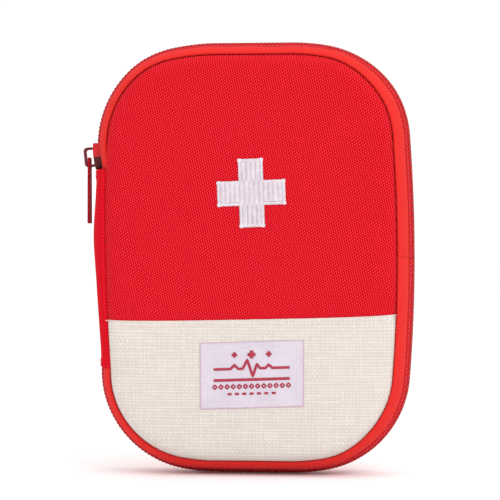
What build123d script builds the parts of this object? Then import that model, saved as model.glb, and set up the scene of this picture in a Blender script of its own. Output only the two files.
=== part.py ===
"""A soft zip-around first aid pouch with its contents, modelled in build123d, in millimetres.

The pouch stands on its bottom edge: +Z is up, -Y is the front and the origin is the middle of the
bottom edge. It opens like a book about a gusseted spine on its left (-X) side. Depths are measured
from the zip's middle plane, positive towards the front, so a depth of d lies at y = -d. Insets are
measured inwards from the outer line of the zip.
"""

import os
from math import acos, asin, cos, degrees, radians, sin

from build123d import *

# Case outline: one corner is a shoulder arc, a corner arc and half of a bowed side.
HEIGHT = 178.0
WIDTH = 132.0
SHOULDER_R = 80.0
SHOULDER_TURN = 10.0
CORNER_R = 42.0
SIDE_TURN = 4.4

# Case depth
SEAM_DEPTH = 12.5
SEAM_INSET = 6.0
CROWN = 3.5
CROWN_R = 3.0
FABRIC = 0.9
CREAM_FABRIC = 1.3
LINING = 0.5
GAP = 0.1

# Zip
COIL_WIDTH = 2.65
COIL_HEIGHT = 2.2
COIL_GAP = 0.45
TAPE = 0.9
TAPE_ROOT = (3.5, 1.55)
TAPE_ROLL = (8.6, 2.5)
TAPE_SEAM_INSET = 5.9
END_GAP = 0.3

# Spine gusset
SPINE_TOP = 125.0
SPINE_BOTTOM = 44.0
SPINE_BULGE = 5.6
SPINE_LINING = 0.6
FOLD_X = -(WIDTH / 2 - SEAM_INSET)

# Slider and pull, whose sizes stand in the slider's own frame: outwards, then downwards
SLIDER_LENGTH = 11.0
SLIDER_WIDTH = 8.8
PLATE = 1.5
CHANNEL_CLEARANCE = 0.5
TEETH_CLEARANCE = 0.35
TAPE_SLIT_TOP = 1.15
WEB = 0.6
BRIDGE_LENGTH = 8.2
BRIDGE_TOP = 6.4
BRIDGE_WIDTH = 2.4
BRIDGE_R = 1.6
BRIDGE_SLOT_R = 0.8
STRAP = 1.1
PULL_PIVOT = (4.35, 1.6)
PULL_LENGTH = 27.5
PULL_TOP = 1.5
PULL_WIDTH = 5.6
PULL_THICKNESS = 1.1
PULL_EYE = (2.8, 3.6)
PULL_EYE_TOP = 0.5

# Front decoration
CREAM_TOP = 64.5
CREAM_TILT = 1.0
CROSS_SIZE = 29.4
CROSS_ARM = 10.6
CROSS_HEIGHT = 0.7
CROSS_Z = 115.8
CROSS_TILT = 2.4
LABEL_SIZE = (43.0, 28.6)
LABEL_THICKNESS = 0.6
LABEL_Z = 40.3
LABEL_TILT = 1.8

# Inside: bindings and pockets
BINDING_INSET = 9.4
BINDING = 1.2
BINDING_DEPTH = 5.0
POCKET_INSET = 10.8
POCKET_FLOOR = 0.2
NET = 0.6
NET_DEPTH = 12.6
NET_TOP = 91.0
SLIP = 0.9
SLIP_DEPTH = 6.4
SLIP_TOP = 74.0
HEM_HEIGHT = 8.0
HEM = 0.6
HEM_END = 2.5

# Inside: loops and contents
BAND_BOTTOM = 112.0
BAND_HEIGHT = 22.0
BAND = 1.0
BAND_ENDS = (11.0, 17.0)
LOOP_CLEARANCE = 0.3
TWEEZERS_LOOP = (6.0, 2.0)
ROLL_R = 9.5
ROLL_LENGTH = 60.0
ROLL_BOTTOM = 95.0
GAUZE_ROLL_X = -8.0
CREPE_ROLL_X = 18.0
TWEEZERS_X = -36.0
TWEEZERS_BOTTOM = 77.0
TWEEZERS_LENGTH = 78.0
TWEEZERS_WIDTH = 9.0
TWEEZERS_ARM = 1.0
TWEEZERS_SPREAD = 4.6
TWEEZERS_HEAD = 12.0
TWEEZERS_TIP = 1.1
TAPE_ROLL_R = 19.0
TAPE_ROLL_BORE = 11.0
TAPE_CORE = 1.5
TAPE_ROLL_WIDTH = 11.6
TAPE_ROLL_AT = (26.0, 36.0)

# Inside: sachets, as width, height and thickness
GAUZE_PAD = (58.0, 68.0, 1.5)
WIPE = (44.0, 54.0, 1.7)
PLASTER = (19.0, 72.0, 0.9)
SACHET_CORNER_R = 1.0

# Outline values worked out from the driving dimensions
corner_z = SHOULDER_R * (1 - cos(radians(SHOULDER_TURN))) + CORNER_R * cos(radians(SHOULDER_TURN))
side_r = (HEIGHT / 2 - corner_z + CORNER_R * sin(radians(SIDE_TURN))) / sin(radians(SIDE_TURN))
corner_x = WIDTH / 2 - CORNER_R * cos(radians(SIDE_TURN)) - side_r * (1 - cos(radians(SIDE_TURN)))
flat_half = corner_x - (SHOULDER_R - CORNER_R) * sin(radians(SHOULDER_TURN))
corner_turn = 90 - SHOULDER_TURN - SIDE_TURN
top_corner_z = HEIGHT - corner_z

# Angles on the two left corner circles, up from the level of the circle's centre
upper_end = -degrees(asin((top_corner_z - SPINE_TOP - END_GAP) / CORNER_R))
lower_end = -degrees(asin((SPINE_BOTTOM - END_GAP - corner_z) / CORNER_R))
free_turn = degrees(acos((-FOLD_X - corner_x) / CORNER_R)) + 0.5
end_gap_turn = degrees(END_GAP / CORNER_R)
slider_turn = degrees(SLIDER_LENGTH / CORNER_R)
slider_rest = upper_end + 0.6 + slider_turn / 2

face_depth = SEAM_DEPTH + CROWN
lining_depth = SEAM_DEPTH - LINING
FRONT, BACK = 1, -1

parts = []


def keep(part, label):
    """Labels a finished piece and puts it on the list to be written."""
    part.label = label
    parts.append(part)
    return part


# ---------------------------------------------------------------- outlines


def draw_outline(inset):
    """Fills the case outline, inset from the zip line, in the sketch that is open."""
    half_turn = [
        (SHOULDER_R, SHOULDER_TURN),
        (CORNER_R, corner_turn),
        (side_r, 2 * SIDE_TURN),
        (CORNER_R, corner_turn),
        (SHOULDER_R, SHOULDER_TURN),
    ]
    with BuildLine() as line:
        edge = Line((-flat_half, inset), (flat_half, inset))
        for radius, turn in half_turn:
            edge = JernArc(edge @ 1, edge % 1, radius - inset, turn)
        edge = Line(edge @ 1, (-flat_half, HEIGHT - inset))
        for radius, turn in half_turn:
            edge = JernArc(edge @ 1, edge % 1, radius - inset, turn)
    make_face(line.edges())


def zip_path(first_turn, turns):
    """A path on the zip's outer line, starting on the upper left corner at first_turn, clockwise."""
    angle = radians(first_turn)
    start = (-corner_x - CORNER_R * cos(angle), top_corner_z + CORNER_R * sin(angle))
    with BuildLine(Plane.XZ) as path:
        edge = JernArc(start, (sin(angle), cos(angle)), CORNER_R, -turns[0][1])
        for radius, turn in turns[1:]:
            if radius:
                edge = JernArc(edge @ 1, edge % 1, radius, -turn)
            else:
                edge = Line(edge @ 1, edge @ 1 + (edge % 1) * turn)
    return path


def main_path():
    """The zip's line from one fold line round the top, the right side and the bottom to the other."""
    first = 90 - SHOULDER_TURN - free_turn
    shoulder = (SHOULDER_R, SHOULDER_TURN)
    flat = (0, 2 * flat_half)
    corner = (CORNER_R, corner_turn)
    side = (side_r, 2 * SIDE_TURN)
    turns = [(CORNER_R, first), shoulder, flat, shoulder, corner, side]
    turns += [corner, shoulder, flat, shoulder, (CORNER_R, first)]
    return zip_path(free_turn, turns)


def upper_end_path():
    """The zip's line between the top of the spine and the upper end of the main stretch."""
    return zip_path(upper_end, [(CORNER_R, free_turn - end_gap_turn - upper_end)])


def section_plane(path):
    """A plane across the start of a path: x is depth towards the front, y is inset."""
    return Plane(origin=path.wire() @ 0, x_dir=(0, -1, 0), z_dir=path.wire() % 0)


def draw_coil_section(side):
    """One row of teeth, as a rail with rounded outer corners."""
    with Locations((side * (COIL_GAP + COIL_WIDTH / 2), COIL_HEIGHT / 2)):
        row = Rectangle(COIL_WIDTH, COIL_HEIGHT)
    outer_corner = row.vertices().group_by(Axis.Y)[0].sort_by(Axis.X)[-1 if side == FRONT else 0]
    fillet(outer_corner, COIL_HEIGHT / 3)


def draw_tape_section(side):
    """One zip tape: it leaves the teeth, rolls outwards and turns in to the panel's seam."""
    root, root_inset = TAPE_ROOT
    roll, roll_inset = TAPE_ROLL
    seam, seam_inset = lining_depth - END_GAP, TAPE_SEAM_INSET
    with BuildLine() as line:
        outer = ThreePointArc(
            (side * root, root_inset),
            (side * roll, roll_inset),
            (side * seam, seam_inset),
        )
        inner = ThreePointArc(
            (side * root, root_inset + TAPE),
            (side * (roll - 0.5), roll_inset + 0.85),
            (side * (seam - 0.7), seam_inset + 0.4),
        )
        Line(outer @ 0, inner @ 0)
        Line(outer @ 1, inner @ 1)
    make_face(line.edges())


def swept(draw, side, path):
    """A zip section drawn by draw, swept along a path."""
    with BuildPart() as piece:
        with BuildSketch(section_plane(path)):
            draw(side)
        sweep(path=path.wire())
    return piece.part


def lower_end_pieces(draw, side):
    """The same section along the zip's lower end, on the lower left corner."""
    path = zip_path(lower_end, [(CORNER_R, free_turn - end_gap_turn - lower_end)])
    return mirror(swept(draw, side, path), about=Plane.XY.offset(HEIGHT / 2))


def zip_pieces():
    """Tapes and teeth of both halves, and the two zip ends that are sewn to the spine."""
    main, upper = main_path(), upper_end_path()
    for side, name in ((FRONT, "front"), (BACK, "back")):
        keep(swept(draw_tape_section, side, main), f"{name}_zip_tape")
        keep(swept(draw_coil_section, side, main), f"{name}_zip_teeth")
    for draw, name in ((draw_tape_section, "tapes"), (draw_coil_section, "teeth")):
        both_upper = [swept(draw, side, upper) for side in (FRONT, BACK)]
        keep(Compound(children=both_upper), f"upper_zip_end_{name}")
        both_lower = [lower_end_pieces(draw, side) for side in (FRONT, BACK)]
        keep(Compound(children=both_lower), f"lower_zip_end_{name}")


# ---------------------------------------------------------------- panels


def padded_slab(side, inset, height, edge_r):
    """A flat pad standing on the seam plane, with its outer edge rounded."""
    with BuildPart() as slab:
        with BuildSketch(Plane.XZ.offset(side * SEAM_DEPTH)):
            draw_outline(inset)
        extrude(amount=side * height)
        outer_face = slab.faces().sort_by(Axis.Y)[0 if side == FRONT else -1]
        fillet(outer_face.edges(), edge_r)
    return slab.part


def foam(side):
    """The foam pad that gives a panel its shape."""
    return padded_slab(side, SEAM_INSET + FABRIC, CROWN - FABRIC, CROWN_R - FABRIC)


def outer_skin(side, thickness):
    """The fabric over one foam pad, from seam to seam."""
    with BuildPart() as skin:
        add(padded_slab(side, SEAM_INSET, CROWN + thickness - FABRIC, CROWN_R))
        add(foam(side), mode=Mode.SUBTRACT)
    return skin.part


def cream_plane():
    """The slightly tilted line where the cream fabric meets the red."""
    tilt = radians(CREAM_TILT)
    along, up = (cos(tilt), 0, sin(tilt)), (-sin(tilt), 0, cos(tilt))
    return Plane(origin=(0, 0, CREAM_TOP), x_dir=along, z_dir=up)


def panels():
    """The front panel in two fabrics, the back panel and both foam pads."""
    with BuildPart() as red:
        add(outer_skin(FRONT, FABRIC))
        split(bisect_by=cream_plane(), keep=Keep.TOP)
    keep(red.part, "front_red_panel")
    with BuildPart() as cream:
        add(outer_skin(FRONT, CREAM_FABRIC))
        split(bisect_by=cream_plane(), keep=Keep.BOTTOM)
    keep(cream.part, "front_cream_panel")
    keep(outer_skin(BACK, FABRIC), "back_panel")
    keep(foam(FRONT), "front_foam_pad")
    keep(foam(BACK), "back_foam_pad")


def tilted_plane(depth, z, tilt):
    """A plane on the front face, turned about the face's normal."""
    turn = radians(tilt)
    return Plane(origin=(0, -depth, z), x_dir=(cos(turn), 0, sin(turn)), z_dir=(0, -1, 0))


def decoration():
    """The embroidered cross on the red fabric and the woven label on the cream fabric."""
    with BuildPart() as cross:
        with BuildSketch(tilted_plane(face_depth, CROSS_Z, CROSS_TILT)):
            Rectangle(CROSS_SIZE, CROSS_ARM)
            Rectangle(CROSS_ARM, CROSS_SIZE)
        extrude(amount=CROSS_HEIGHT)
    keep(cross.part, "embroidered_cross")
    with BuildPart() as label:
        label_depth = face_depth + CREAM_FABRIC - FABRIC
        with BuildSketch(tilted_plane(label_depth, LABEL_Z, LABEL_TILT)):
            RectangleRounded(*LABEL_SIZE, 0.8)
        extrude(amount=LABEL_THICKNESS)
    keep(label.part, "woven_label")


def linings():
    """The lining sheets and the tape that binds each panel's raw seam."""
    for side, name in ((FRONT, "front"), (BACK, "back")):
        with BuildPart() as lining:
            with BuildSketch(Plane.XZ.offset(side * lining_depth)):
                draw_outline(SEAM_INSET + END_GAP)
            extrude(amount=side * LINING)
        keep(lining.part, f"{name}_lining")
        with BuildPart() as binding:
            with BuildSketch(Plane.XZ.offset(side * (lining_depth - BINDING_DEPTH))):
                draw_outline(BINDING_INSET)
            extrude(amount=side * BINDING_DEPTH)
            with BuildSketch(Plane.XZ.offset(side * (lining_depth - BINDING_DEPTH))):
                draw_outline(BINDING_INSET + BINDING)
            extrude(amount=side * BINDING_DEPTH, mode=Mode.SUBTRACT)
        keep(binding.part, f"{name}_seam_binding")


# ---------------------------------------------------------------- spine


def spine_strip(shift, thickness):
    """An arched strip between the two fold lines, shifted inwards from the spine's outer face."""
    edge_y = SEAM_DEPTH - END_GAP
    edge_x = FOLD_X - GAP - FABRIC - SPINE_LINING
    crown_x = FOLD_X - SPINE_BULGE
    with BuildPart() as strip:
        with BuildSketch(Plane.XY.offset(SPINE_BOTTOM)):
            with BuildLine():
                edge, crown = edge_x + shift, crown_x + shift
                outer = ThreePointArc((edge, -edge_y), (crown, 0), (edge, edge_y))
                edge, crown = edge + thickness, crown + thickness
                inner = ThreePointArc((edge, -edge_y), (crown, 0), (edge, edge_y))
                Line(outer @ 0, inner @ 0)
                Line(outer @ 1, inner @ 1)
            make_face()
        extrude(amount=SPINE_TOP - SPINE_BOTTOM)
    return strip.part


def spine():
    """The spine gusset's outer fabric and its lining."""
    keep(spine_strip(0, FABRIC), "spine_gusset")
    keep(spine_strip(FABRIC, SPINE_LINING), "spine_lining")


# ---------------------------------------------------------------- slider and pull


def slider_plane(depth=0.0):
    """The slider's frame where it rests on the zip: x outwards, y downwards along the zip."""
    angle = radians(slider_rest)
    outward = Vector(-cos(angle), 0, sin(angle))
    centre = Vector(-corner_x, -depth, top_corner_z)
    return Plane(origin=centre + outward * CORNER_R, x_dir=outward, z_dir=(0, -1, 0))


def draw_slider_section(low, high):
    """The slider's cross section: depth across, insets downwards, open for teeth and tapes."""
    middle = (low + high) / 2
    channel_low, channel_high = low + PLATE, high - PLATE
    with Locations((0, middle)):
        Rectangle(SLIDER_WIDTH, high - low)
    with Locations((0, (channel_low + channel_high) / 2)):
        channel_width = 2 * (COIL_GAP + COIL_WIDTH + TEETH_CLEARANCE)
        Rectangle(channel_width, channel_high - channel_low, mode=Mode.SUBTRACT)
    with Locations((0, (channel_low - TAPE_SLIT_TOP) / 2)):
        Rectangle(SLIDER_WIDTH, -TAPE_SLIT_TOP - channel_low, mode=Mode.SUBTRACT)
    with Locations((0, middle)):
        Rectangle(WEB, high - low)


def draw_shield():
    """The slider's outline from outside: across the zip, then downwards along it."""
    wide, narrow, end = SLIDER_WIDTH / 2, 0.39 * SLIDER_WIDTH, SLIDER_LENGTH / 2
    shoulder = -0.15 * end
    with BuildLine() as line:
        Polyline(
            (-narrow, end),
            (-wide, shoulder),
            (-0.94 * wide, -end),
            (0.94 * wide, -end),
            (wide, shoulder),
            (narrow, end),
            close=True,
        )
    shield = make_face(line.edges())
    fillet(shield.vertices(), 1.2)


def slider():
    """The slider: two shield-shaped plates round the teeth, joined by a web, with a bridge on top."""
    low = -COIL_HEIGHT - CHANNEL_CLEARANCE - PLATE
    high = CHANNEL_CLEARANCE + PLATE
    frame = slider_plane()
    first = radians(slider_rest - slider_turn / 2)
    outward = Vector(-cos(first), 0, sin(first))
    centre = Vector(-corner_x, 0, top_corner_z)
    across = Vector(0, 1, 0)
    tail = Plane(origin=centre + outward * CORNER_R, x_dir=across, z_dir=across.cross(outward))
    with BuildPart() as body:
        with BuildSketch(tail):
            draw_slider_section(low, high)
        revolve(axis=Axis(centre, (0, 1, 0)), revolution_arc=slider_turn)
        with BuildSketch(Plane(origin=frame.origin, x_dir=across, z_dir=frame.x_dir)):
            draw_shield()
        extrude(amount=2 * PLATE + COIL_HEIGHT + 2, both=True, mode=Mode.INTERSECT)
        with BuildSketch(slider_plane(-BRIDGE_WIDTH / 2)):
            root = high - END_GAP
            with Locations(((BRIDGE_TOP + root) / 2, 0)):
                RectangleRounded(BRIDGE_TOP - root, BRIDGE_LENGTH, BRIDGE_R)
            slot_low, slot_high = high + GAP, BRIDGE_TOP - STRAP
            with Locations(((slot_low + slot_high) / 2, 0)):
                slot_size = (slot_high - slot_low, BRIDGE_LENGTH - 2 * STRAP)
                RectangleRounded(*slot_size, BRIDGE_SLOT_R, mode=Mode.SUBTRACT)
        extrude(amount=BRIDGE_WIDTH)
    keep(body.part, "zip_slider")


def pull_pivot():
    """The point that the pull swings about."""
    return slider_plane().from_local_coords(Vector(*PULL_PIVOT, 0))


def pull():
    """The pull tab, hanging straight down from the bridge, which passes through its eye."""
    corner = pull_pivot() - Vector(PULL_THICKNESS / 2, 0, 0)
    neck, half, tip = 0.68 * PULL_WIDTH / 2, PULL_WIDTH / 2, PULL_TOP - PULL_LENGTH
    shoulder = -1.8 * PULL_EYE[0]
    with BuildPart() as tab:
        with BuildSketch(Plane(origin=corner, x_dir=(0, 1, 0), z_dir=(1, 0, 0))) as outline:
            with BuildLine():
                Polyline(
                    (-neck, PULL_TOP),
                    (neck, PULL_TOP),
                    (0.86 * half, shoulder),
                    (half, tip),
                    (-half, tip),
                    (-0.86 * half, shoulder),
                    close=True,
                )
            make_face()
            fillet(outline.vertices(), 0.9)
            with Locations((0, PULL_EYE_TOP - PULL_EYE[1] / 2)):
                Rectangle(*PULL_EYE, mode=Mode.SUBTRACT)
        extrude(amount=PULL_THICKNESS)
    keep(tab.part, "zip_pull")


# ---------------------------------------------------------------- pockets


def pocket(side, depth, wall, top):
    """A shallow pocket, open at the top: a front wall, with sides and a bottom back to the lining."""
    outer = lining_depth - POCKET_FLOOR
    with BuildPart() as bag:
        with BuildSketch(Plane.XZ.offset(side * outer)):
            draw_outline(POCKET_INSET)
        extrude(amount=-side * depth)
        with BuildSketch(Plane.XZ.offset(side * outer)):
            draw_outline(POCKET_INSET + wall)
        extrude(amount=-side * (depth - wall), mode=Mode.SUBTRACT)
        split(bisect_by=Plane.XY.offset(top), keep=Keep.BOTTOM)
    return bag.part


def pocket_hem(side, depth, top):
    """The stretch hem along a pocket's mouth, on the face of its front wall."""
    face = lining_depth - POCKET_FLOOR - depth
    half = corner_x + CORNER_R - POCKET_INSET - HEM_END
    with BuildPart() as hem:
        with BuildSketch(Plane.XZ.offset(side * face)):
            with Locations((0, top - HEM_HEIGHT / 2)):
                Rectangle(2 * half, HEM_HEIGHT)
        extrude(amount=-side * HEM)
    return hem.part


def pockets():
    """The net pocket inside the cover and the slip pocket inside the back."""
    keep(pocket(FRONT, NET_DEPTH, NET, NET_TOP), "net_pocket")
    keep(pocket_hem(FRONT, NET_DEPTH, NET_TOP), "net_pocket_hem")
    keep(pocket(BACK, SLIP_DEPTH, SLIP, SLIP_TOP), "slip_pocket")
    keep(pocket_hem(BACK, SLIP_DEPTH, SLIP_TOP), "slip_pocket_hem")


def draw_arch(x, half_width, height, corner_r):
    """Fills a tunnel shape standing on the back lining, in an XY sketch."""
    with Locations((x, lining_depth - POCKET_FLOOR - height / 2)):
        Rectangle(2 * half_width, height)
    tops = [v for v in vertices() if abs(v.Y - (lining_depth - POCKET_FLOOR - height)) < 1e-6]
    return fillet([v for v in tops if abs(v.X - x) < half_width + 1e-6], corner_r)


def elastic_loops():
    """One elastic band, sewn flat between its loops, with a loop over each roll and the tweezers."""
    base = lining_depth - POCKET_FLOOR
    loops = [
        (TWEEZERS_X, TWEEZERS_WIDTH / 2 + LOOP_CLEARANCE, *TWEEZERS_LOOP),
        (GAUZE_ROLL_X, ROLL_R + LOOP_CLEARANCE, 2 * ROLL_R + LOOP_CLEARANCE, ROLL_R),
        (CREPE_ROLL_X, ROLL_R + LOOP_CLEARANCE, 2 * ROLL_R + LOOP_CLEARANCE, ROLL_R),
    ]
    first, last = TWEEZERS_X - BAND_ENDS[0], CREPE_ROLL_X + BAND_ENDS[1]
    with BuildPart() as band:
        with BuildSketch(Plane.XY.offset(BAND_BOTTOM)):
            with Locations(((first + last) / 2, base - BAND / 2)):
                Rectangle(last - first, BAND)
        extrude(amount=BAND_HEIGHT)
        for grow, mode in ((BAND, Mode.ADD), (0.0, Mode.SUBTRACT)):
            for x, half_width, height, corner_r in loops:
                with BuildSketch(Plane.XY.offset(BAND_BOTTOM)):
                    draw_arch(x, half_width + grow, height + grow, corner_r + grow)
                extrude(amount=BAND_HEIGHT, mode=mode)
    keep(band.part, "elastic_loops")


# ---------------------------------------------------------------- contents


def bandage_roll(x, label):
    """A rolled bandage standing against the back lining."""
    with BuildPart() as roll:
        with BuildSketch(Plane.XY.offset(ROLL_BOTTOM)):
            with Locations((x, lining_depth - POCKET_FLOOR - ROLL_R)):
                Circle(ROLL_R)
        extrude(amount=ROLL_LENGTH)
        fillet(roll.edges().filter_by(GeomType.CIRCLE), 1.2)
    keep(roll.part, label)


def tweezers():
    """Flat tweezers, tips down: two sprung arms joined at the head, tapering to the tips."""
    top = TWEEZERS_BOTTOM + TWEEZERS_LENGTH
    rear = lining_depth - POCKET_FLOOR - GAP
    spread, head, tip = TWEEZERS_SPREAD, TWEEZERS_HEAD, TWEEZERS_TIP
    with BuildPart() as pair:
        with BuildSketch(Plane.YZ):
            with BuildLine():
                Polyline(
                    (rear, TWEEZERS_BOTTOM),
                    (rear - TWEEZERS_ARM, TWEEZERS_BOTTOM),
                    (rear - TWEEZERS_ARM - 0.2, top - head),
                    (rear - spread, TWEEZERS_BOTTOM),
                    (rear - spread - TWEEZERS_ARM, TWEEZERS_BOTTOM),
                    (rear - 2 * TWEEZERS_ARM - 0.4, top - head),
                    (rear - 2 * TWEEZERS_ARM - 0.4, top),
                    (rear, top),
                    close=True,
                )
            make_face()
        extrude(amount=TWEEZERS_WIDTH, both=True)
        with BuildSketch(Plane.XZ) as front_view:
            with BuildLine():
                half = TWEEZERS_WIDTH / 2
                Polyline(
                    (-half * 0.62, top),
                    (-half * 0.72, top - head),
                    (-half, top - 0.4 * TWEEZERS_LENGTH),
                    (-tip, TWEEZERS_BOTTOM),
                    (tip, TWEEZERS_BOTTOM + tip + GAP),
                    (half, top - 0.4 * TWEEZERS_LENGTH),
                    (half * 0.72, top - head),
                    (half * 0.62, top),
                    close=True,
                )
            make_face()
            fillet(front_view.vertices().group_by(Axis.Y)[-1], 1.5)
        extrude(amount=4 * SEAM_DEPTH, both=True, mode=Mode.INTERSECT)
    keep(Pos(TWEEZERS_X, 0, 0) * pair.part, "tweezers")


def tape_roll():
    """A roll of surgical tape lying flat in the net pocket: a plastic core and the wound tape."""
    x, z = TAPE_ROLL_AT
    rear = lining_depth - POCKET_FLOOR - GAP
    rings = (
        (TAPE_ROLL_BORE, TAPE_ROLL_BORE + TAPE_CORE, TAPE_ROLL_WIDTH, "tape_roll_core"),
        (TAPE_ROLL_BORE + TAPE_CORE, TAPE_ROLL_R, TAPE_ROLL_WIDTH - 0.8, "tape_roll_winding"),
    )
    for inner, outer, width, label in rings:
        with BuildPart() as ring:
            with BuildSketch(Plane.XZ.offset(rear - (TAPE_ROLL_WIDTH + width) / 2)):
                with Locations((x, z)):
                    Circle(outer)
                    Circle(inner, mode=Mode.SUBTRACT)
            extrude(amount=width)
        keep(ring.part, label)


def stack(side, label, sachet, places):
    """Flat sachets lying on the lining, one on another, each at its own (x, z, layer)."""
    rear = lining_depth - POCKET_FLOOR - GAP
    width, tall, thickness = sachet
    with BuildPart() as sachets:
        for x, z, layer in places:
            outer = rear - layer * (thickness + GAP)
            with BuildSketch(Plane.XZ.offset(side * (outer - (thickness if side == FRONT else 0)))):
                with Locations((x, z)):
                    RectangleRounded(width, tall, SACHET_CORNER_R)
            extrude(amount=thickness)
    keep(sachets.part, label)


def contents():
    """What the loops and pockets hold."""
    bandage_roll(GAUZE_ROLL_X, "gauze_bandage_roll")
    bandage_roll(CREPE_ROLL_X, "crepe_bandage_roll")
    tweezers()
    tape_roll()
    stack(BACK, "gauze_pads", GAUZE_PAD, [(1 - 2 * n, 50 + 4 * n, n) for n in range(3)])
    stack(FRONT, "antiseptic_wipes", WIPE, [(n - 21, 49 + 2 * n, n) for n in range(4)])
    strips = [(16 + 21 * row, 94 + 2 * n, n) for row in range(2) for n in range(3)]
    stack(FRONT, "plaster_strips", PLASTER, strips)


panels()
decoration()
linings()
zip_pieces()
spine()
slider()
pull()
pockets()
elastic_loops()
contents()

os.makedirs("parts", exist_ok=True)
for part in parts:
    export_step(part, f"parts/{part.label}.step")

pivot = pull_pivot()
print("pull pivot", tuple(round(v, 3) for v in pivot))
print("slider centre", round(-corner_x, 3), round(top_corner_z, 3), "rest angle", round(slider_rest, 2))
print("flat run half length", round(flat_half, 3), "zip free beyond", round(free_turn, 2))
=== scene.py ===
"""Looks of a soft zip-around first aid pouch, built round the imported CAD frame.

Metres, in the row frame: +Z up, -Y out of the front face, the spine and slider on the -X side.
A depth is measured from the zip's middle plane towards the side in hand (FRONT or BACK), and an
inset is measured inwards from the zip's outer line.
"""

import math

import bmesh
import bpy
import numpy as np
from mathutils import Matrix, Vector, noise
from mathutils.bvhtree import BVHTree


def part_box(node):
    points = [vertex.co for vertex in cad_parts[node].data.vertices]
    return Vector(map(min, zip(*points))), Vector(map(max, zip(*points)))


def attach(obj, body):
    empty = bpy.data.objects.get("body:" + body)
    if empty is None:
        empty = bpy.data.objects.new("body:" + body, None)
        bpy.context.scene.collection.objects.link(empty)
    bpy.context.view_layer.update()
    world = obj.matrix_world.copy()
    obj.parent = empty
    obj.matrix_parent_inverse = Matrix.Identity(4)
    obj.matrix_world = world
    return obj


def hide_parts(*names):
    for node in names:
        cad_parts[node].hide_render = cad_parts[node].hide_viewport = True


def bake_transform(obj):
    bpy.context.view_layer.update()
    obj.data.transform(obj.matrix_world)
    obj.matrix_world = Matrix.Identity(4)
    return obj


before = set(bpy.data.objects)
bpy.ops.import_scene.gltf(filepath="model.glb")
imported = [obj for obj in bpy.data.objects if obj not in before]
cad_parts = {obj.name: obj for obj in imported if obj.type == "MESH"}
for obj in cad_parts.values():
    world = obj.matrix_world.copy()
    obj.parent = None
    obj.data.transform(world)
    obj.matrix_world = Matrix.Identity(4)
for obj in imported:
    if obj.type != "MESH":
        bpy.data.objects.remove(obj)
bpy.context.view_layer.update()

MM = 0.001
FRONT, BACK = 1, -1

# Sizes read from the frame
half_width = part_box("back_zip_teeth")[1].x
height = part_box("back_zip_teeth")[1].z
seam_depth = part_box("back_panel")[0].y
face_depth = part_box("back_panel")[1].y
lining_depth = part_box("back_lining")[0].y
spine_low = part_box("spine_gusset")[0].z
spine_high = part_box("spine_gusset")[1].z
spine_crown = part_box("spine_gusset")[0].x
fold_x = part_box("back_panel")[0].x

# Outline arcs, as the case has them
SHOULDER_R, SHOULDER_TURN = 80 * MM, math.radians(10)
CORNER_R, SIDE_TURN = 42 * MM, math.radians(4.4)
CORNER_TURN = math.radians(90) - SHOULDER_TURN - SIDE_TURN
SEAM_INSET = 6 * MM

# Zip ends, as turns on the two left corner circles beyond the level of the circle's centre
UPPER_TUCK = math.radians(17)
LOWER_TUCK = math.radians(2.5)
TOOTH_PITCH = 1.7 * MM

# Front decoration
CREAM_TOP, CREAM_TILT = 63.75 * MM, math.radians(1.3)
CREAM_LIFT, CREAM_SEAM_LIFT = 0.5 * MM, 0.12 * MM
HEM_DROP, HEM_LIFT, HEM_BEND = 14 * MM, 0.22 * MM, 6 * MM
CROSS_AT, CROSS_TILT = (0.6 * MM, 115.4 * MM), math.radians(2.0)
CROSS_SIZE, CROSS_ARM = 27.8 * MM, 10.1 * MM
LABEL_AT, LABEL_SLOPE = (0.8 * MM, 41.6 * MM), math.radians(2.05)
LABEL_SIZE = (42.6 * MM, 27.4 * MM)

# ------------------------------------------------------------------ outline


class Line:
    """A run of left-turning arcs and straights in the XZ plane, measured by its length."""

    def __init__(self, start, heading, runs):
        self.pieces = []
        self.length = 0.0
        x, z = start
        for radius, turn in runs:
            reach = radius * turn if radius else turn
            self.pieces.append((self.length, reach, radius, x, z, heading))
            self.length += reach
            if radius:
                centre_x, centre_z = x - radius * math.sin(heading), z + radius * math.cos(heading)
                heading += turn
                x, z = centre_x + radius * math.sin(heading), centre_z - radius * math.cos(heading)
            else:
                x, z = x + reach * math.cos(heading), z + reach * math.sin(heading)
        self.end = (x, z)

    def at(self, lengths):
        """Points and outward normals at these lengths, as two arrays of (x, z)."""
        lengths = np.asarray(lengths, float)
        points, normals = np.zeros((len(lengths), 2)), np.zeros((len(lengths), 2))
        for start, reach, radius, x, z, heading in self.pieces:
            here = (lengths >= start - 1e-12) & (lengths <= start + reach + 1e-9)
            along = lengths[here] - start
            if radius:
                turned = heading + along / radius
                points[here, 0] = x + radius * (np.sin(turned) - math.sin(heading))
                points[here, 1] = z - radius * (np.cos(turned) - math.cos(heading))
            else:
                turned = np.full(len(along), heading)
                points[here, 0] = x + along * math.cos(heading)
                points[here, 1] = z + along * math.sin(heading)
            normals[here, 0], normals[here, 1] = np.sin(turned), -np.cos(turned)
        return points + normals * swell(points, normals)[:, None], normals


def swell(points, normals):
    """How far the soft case bulges beyond its pattern: most up the left side, tucked in below."""
    x, z = points[:, 0], points[:, 1]
    across = np.abs(normals[:, 0])
    sideways = smoothstep(0.1, 0.7, across)
    left = 1.4 * MM * smoothstep(70 * MM, 140 * MM, z) * sideways - 0.3 * MM * hump(z, 50 * MM, 14 * MM)
    right = 0.5 * MM * across + 0.45 * MM * hump(z, 158 * MM, 14 * MM) * sideways
    off_middle = smoothstep(10 * MM, 30 * MM, np.abs(x))
    return np.where(x < 0, left, right) * off_middle


def hump(value, middle, width):
    """A smooth bump of height 1 about the middle."""
    return np.exp(-(((value - middle) / width) ** 2))


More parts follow.
